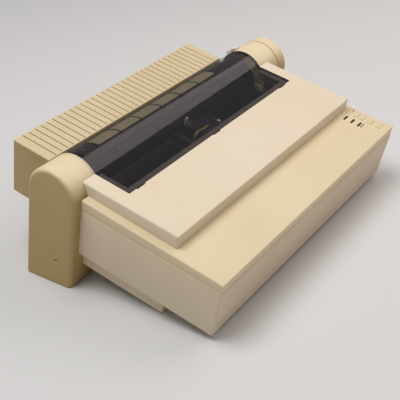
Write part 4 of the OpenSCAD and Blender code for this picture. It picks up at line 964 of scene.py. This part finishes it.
def makeBoard():
    x0, x1, y0, y1, under = boardForm["board"]
    top, (deep, tall, lift), pinch = under + boardForm["thick"], boardForm["chip"], boardForm["chipInset"]
    board = addBlock("mainBoard", x0, x1, y0, y1, under, top)
    roundEdges(board, upright(1), boardForm["corner"], 4)
    inset, radius = boardForm["fixings"]
    for x in (x0 + inset, x1 - inset):
        for y in (y0 + inset, y1 - inset):
            cutAway(board, addUpright("fixing", x, y, under - 1, top + 1, radius, 24))
    finishPiece(board, "case", "board", "main_board")
    chips, legs, resistors, (start, wide, high) = [], [], [], boardForm["leg"]
    for x, y, length in boardForm["chips"]:
        chip = addBlock("chip", x, x + length, y + pinch, y + deep - pinch, top + lift, top + tall)
        roundEdges(chip, atTop(top + tall), lift, 2)
        chips.append(cutAway(chip, addUpright("notch", x, y + deep / 2, top + tall - lift, top + tall + 1, pinch, 24)))
        pair = [addBlock("leg", x + start, x + wide, near, near + wide, top - 0.1, top + high)
                for near in (y, y + deep - wide)]
        leg = soften(gather("leg", pair), 0.15, 1)
        legs.append(repeatPiece(leg, int((length - 2) / boardForm["pitch"]), (boardForm["pitch"], 0, 0)))
    hx0, hx1, hy0, hy1, peak = boardForm["header"]
    header = addBlock("header", hx0, hx1, hy0, hy1, top, peak)
    cutAway(header, addBlock("well", hx0 + 1, hx1 - 1, hy0 + 1, hy1 - 1, top + 2, peak + 1))
    chips.append(soften(header, 0.2, 1))
    finishPiece(gather("boardChips", chips), "case", "black", "main_board")
    for x, y in boardForm["resistors"]:
        height, half, radius = boardForm["lead"]
        legs.append(addLengthwise("lead", x, top + height, y - half, y + half, radius, 12))
        height, half, radius = boardForm["resistor"]
        resistors.append(soften(addLengthwise("resistor", x, top + height, y - half, y + half, radius, 20), 0.5, 2, 60))
    finishPiece(gather("boardLegs", legs), "case", "steel", "main_board")
    finishPiece(gather("boardResistors", resistors), "case", "nylon", "main_board")
    x, y, radius, peak = boardForm["capacitor"]
    capacitor = addUpright("boardCapacitor", x, y, top - 0.2, peak, radius, 48)
    insetFaces(capacitor, lambda centre, normal: normal.z > 0.9, *boardForm["canRim"])
    roundEdges(capacitor, lambda a, b: min(a.z, b.z) > peak - touch
               and min(math.hypot(v.x - x, v.y - y) for v in (a, b)) > radius - 0.1, boardForm["canRound"], 3)
    finishPiece(capacitor, "case", "can", "main_board")


makeBoard()

transformerForm = {"core": (-178.0, -122.0, 18.0, 58.0, -57.7, -13.7), "coreRound": 0.5,
                   "bolt": (5.0, 2.6), "boltRound": 0.35,
                   "coil": (-170.0, -130.0, 12.0, 64.0, -49.8, -21.6), "coilRound": 5, "flange": (2.2, 2)}


def makeTransformer():
    x0, x1, y0, y1, z0, z1 = transformerForm["core"]
    core = soften(addBlock("transformerCore", x0, x1, y0 + 2, y1 - 2, z0, z1 - 0.6), transformerForm["coreRound"], 2)
    inset, radius = transformerForm["bolt"]
    for x in (x0 + inset, x1 - inset):
        for z in (z0 + inset, z1 - inset):
            weld(core, soften(addLengthwise("bolt", x, z, y0, y1, radius, 6), transformerForm["boltRound"], 2, 50))
    finishPiece(core, "case", "laminated", "transformer")
    x0, x1, y0, y1, z0, z1 = transformerForm["coil"]
    coil = addBlock("transformerCoil", x0 + 1, x1 - 1, y0 + 1, y1 - 1, z0 + 2, z1 - 2)
    roundEdges(coil, upright(5), transformerForm["coilRound"], 6)
    thick, corner = transformerForm["flange"]
    for low, high in ((z0, z0 + thick), (z1 - thick, z1)):
        weld(coil, roundEdges(addBlock("flange", x0, x1, y0, y1, low, high), upright(1), corner, 3))
    finishPiece(coil, "case", "winding", "transformer")


makeTransformer()

pinForm = {"inlet": ((-133, -42), (-126, -38), (-119, -42)), "inletPin": (1.1, 2.1, 288.8, 296.2), "inletRound": 0.4,
           "socket": (120, -40), "ring": 3.3, "turn": (-40, 260), "count": 8,
           "socketPin": (294.6, 300.5, 0.5), "socketRound": 0.2}


def makePins():
    wide, tall, near, far = pinForm["inletPin"]
    blades = [soften(addBlock("blade", x - wide, x + wide, near, far, z - tall, z + tall), pinForm["inletRound"], 2)
              for x, z in pinForm["inlet"]]
    finishPiece(gather("inletPins", blades), "case", "brass", "power_inlet")
    (x, z), ring, (first, sweep), count = (pinForm[key] for key in ("socket", "ring", "turn", "count"))
    pins = []
    for i in range(count):
        turn = math.radians(first + sweep * i / (count - 1))
        pin = addLengthwise("pin", x + ring * math.cos(turn), z + ring * math.sin(turn), *pinForm["socketPin"], 16)
        pins.append(soften(pin, pinForm["socketRound"], 2, 60))
    finishPiece(gather("socketPins", pins), "case", "brass", "serial_socket")


def copyNode(nodeName, name):
    pick(frame["nodes"][nodeName])
    bpy.ops.object.duplicate()
    piece = rename(bpy.context.object, name)
    bpy.ops.object.parent_clear(type="CLEAR_KEEP_TRANSFORM")
    return tidyFaces(piece)


boardStoreys = (    # above or below the board's top face, which lies at this height over the seam
    ("controlBoard", -1, -6.4, "board", "board", 0.15),
    ("switchStalks", 1, -6.39, "dark_plastic", "black", 0.25),
)
storeys = []
for name, side, height, slotName, finishName, width in boardStoreys:
    storey = copyNode("control_board", name)
    place = (0, slab["shift"][1] - height * math.sin(leanTurn), slab["shift"][2] + height * math.cos(leanTurn))
    trim(storey, place, (0, -side * math.sin(leanTurn), side * math.cos(leanTurn)))
    storeys.append(finishPiece(soften(storey, width), "case", finishName, leaning=False))
for storey in storeys:    # only now, because a replaced node is hidden and can't be copied
    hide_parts("control_board")
print("control board ready")

softened = (    # nodes whose own form is right, with the edges that moulding or pressing leaves
    ("left_tractor", "leftTractor", "tractor_left", "nylon", "nylon", 0.5),
    ("right_tractor", "rightTractor", "tractor_right", "nylon", "nylon", 0.5),
    ("left_tractor_flap", "leftFlap", "flap_left", "nylon", "nylon", 0.35),
    ("right_tractor_flap", "rightFlap", "flap_right", "nylon", "nylon", 0.35),
    ("left_sprocket", "leftSprocket", "wheel_left", "dark_plastic", "black", 0.15),
    ("right_sprocket", "rightSprocket", "wheel_right", "dark_plastic", "black", 0.15),
    ("carriage", "carriageBlock", "carriage_set", "dark_plastic", "black", 0.8),
    ("head_flex_cable", "headFlex", "carriage_set", "brass", "copper", 0.1),
    ("power_inlet", "powerInlet", "case", "dark_plastic", "black", 0.4),
    ("serial_socket", "serialSocket", "case", "dark_plastic", "black", 0.35),
    ("head_gap_lever", "headGapLever", "gap_lever", "nylon", "nylon", 0.5),
    ("paper_release_lever", "paperReleaseLever", "release_lever", "white_plastic", "white", 0.6),
    ("idler_pulley", "idlerPulley", "pulley_idler", "nylon", "nylon", 0.3),
    ("motor_pulley", "motorPulley", "pulley_motor", "brass", "brass", 0.25),
    ("feed_motor", "feedMotor", "case", "dark_metal", "can", 0.7),
    ("carriage_motor", "carriageMotor", "case", "dark_metal", "can", 0.7),
    ("chassis_base", "chassisBase", "case", "steel", "darkSteel", 0.25),
    ("left_chassis_plate", "leftChassisPlate", "case", "steel", "darkSteel", 0.3),
    ("right_chassis_plate", "rightChassisPlate", "case", "steel", "darkSteel", 0.3),
    ("bail_frame", "bailFrame", "bail", "steel", "oiled", 0.3),
    ("bail_rollers", "bailRollers", "bail_rolls", "rubber", "rubber", 0.6),
    ("pinch_rollers", "pinchRollers", "pinch", "rubber", "rubber", 0.6),
    ("platen", "platenRoller", "platen_roll", "rubber", "platen", 0.6),
    ("rubber_feet", "rubberFeet", "case", "rubber", "rubber", 0.3),
    ("cover_hinge_pins", "coverHingePins", "case", "steel", "steel", 0.3),
    ("platen_bushes", "platenBushes", "case", "brass", "brass", 0.25),
)
for nodeName, name, body, slotName, finishName, width in softened:
    finishPiece(soften(copyNode(nodeName, name), width), body, finishName, nodeName, leaning=False)
makePins()    # after the sockets' own forms are copied
print("softened pieces ready")

stage = {"floorSize": 9.0, "floorColour": (0.68, 0.675, 0.665, 1), "floorRough": 0.9,
         "worldColour": (0.96, 0.97, 1.0, 1), "worldStrength": 0.28,
         "lamps": (("keyLamp", (-0.5, 0.25, 1.9), (0, 0, 0.05), (1.1, 1.1), 23.5, (1.0, 1.0, 1.0)),
                   ("frontLamp", (1.07, -0.55, 1.27), (0, 0.03, 0.12), (1.7, 1.4), 12.0, (1.0, 0.89, 0.86)))}


def makeStage():
    clearSelection()
    bpy.ops.mesh.primitive_plane_add(size=stage["floorSize"], location=(0, 0, 0))
    floor = rename(bpy.context.object, "floor")
    paint = Finish("Pale floor").drive(Base_Color=stage["floorColour"], Roughness=stage["floorRough"])
    floor.data.materials.append(paint)
    world = bpy.context.scene.world or bpy.data.worlds.new("studio")
    bpy.context.scene.world = world
    world.use_nodes = True
    background = world.node_tree.nodes["Background"]
    background.inputs["Color"].default_value = stage["worldColour"]
    background.inputs["Strength"].default_value = stage["worldStrength"]
    for name, place, aim, size, power, colour in stage["lamps"]:
        clearSelection()
        bpy.ops.object.light_add(type="AREA", location=place)
        lamp = bpy.context.object
        lamp.name = name
        lamp.data.shape = "RECTANGLE"
        lamp.data.size, lamp.data.size_y = size
        lamp.data.energy = power
        lamp.data.color = colour
        lamp.rotation_euler = (Vector(aim) - Vector(place)).to_track_quat("-Z", "Y").to_euler()


camera = {"place": (-0.72578, -0.51843, 0.55773), "right": (0.570696, -0.819779, -0.047625),
          "down": (-0.449129, -0.263060, -0.853863), "lens": 75.06, "sensor": 36, "near": 0.01}


def makeCamera():
    clearSelection()
    bpy.ops.object.camera_add(location=camera["place"])
    eye = bpy.context.object
    eye.name = "photoCamera"
    right = Vector(camera["right"]).normalized()
    up = -Vector(camera["down"]).normalized()
    back = right.cross(up).normalized()
    turn = Matrix((right, up, back)).transposed().to_4x4()
    eye.matrix_world = Matrix.Translation(camera["place"]) @ turn
    eye.data.lens = camera["lens"]
    eye.data.sensor_width = camera["sensor"]
    eye.data.clip_start = camera["near"]
    bpy.context.scene.camera = eye


makeStage()
makeCamera()
bpy.context.scene.view_settings.view_transform = "Standard"
print("stage ready")
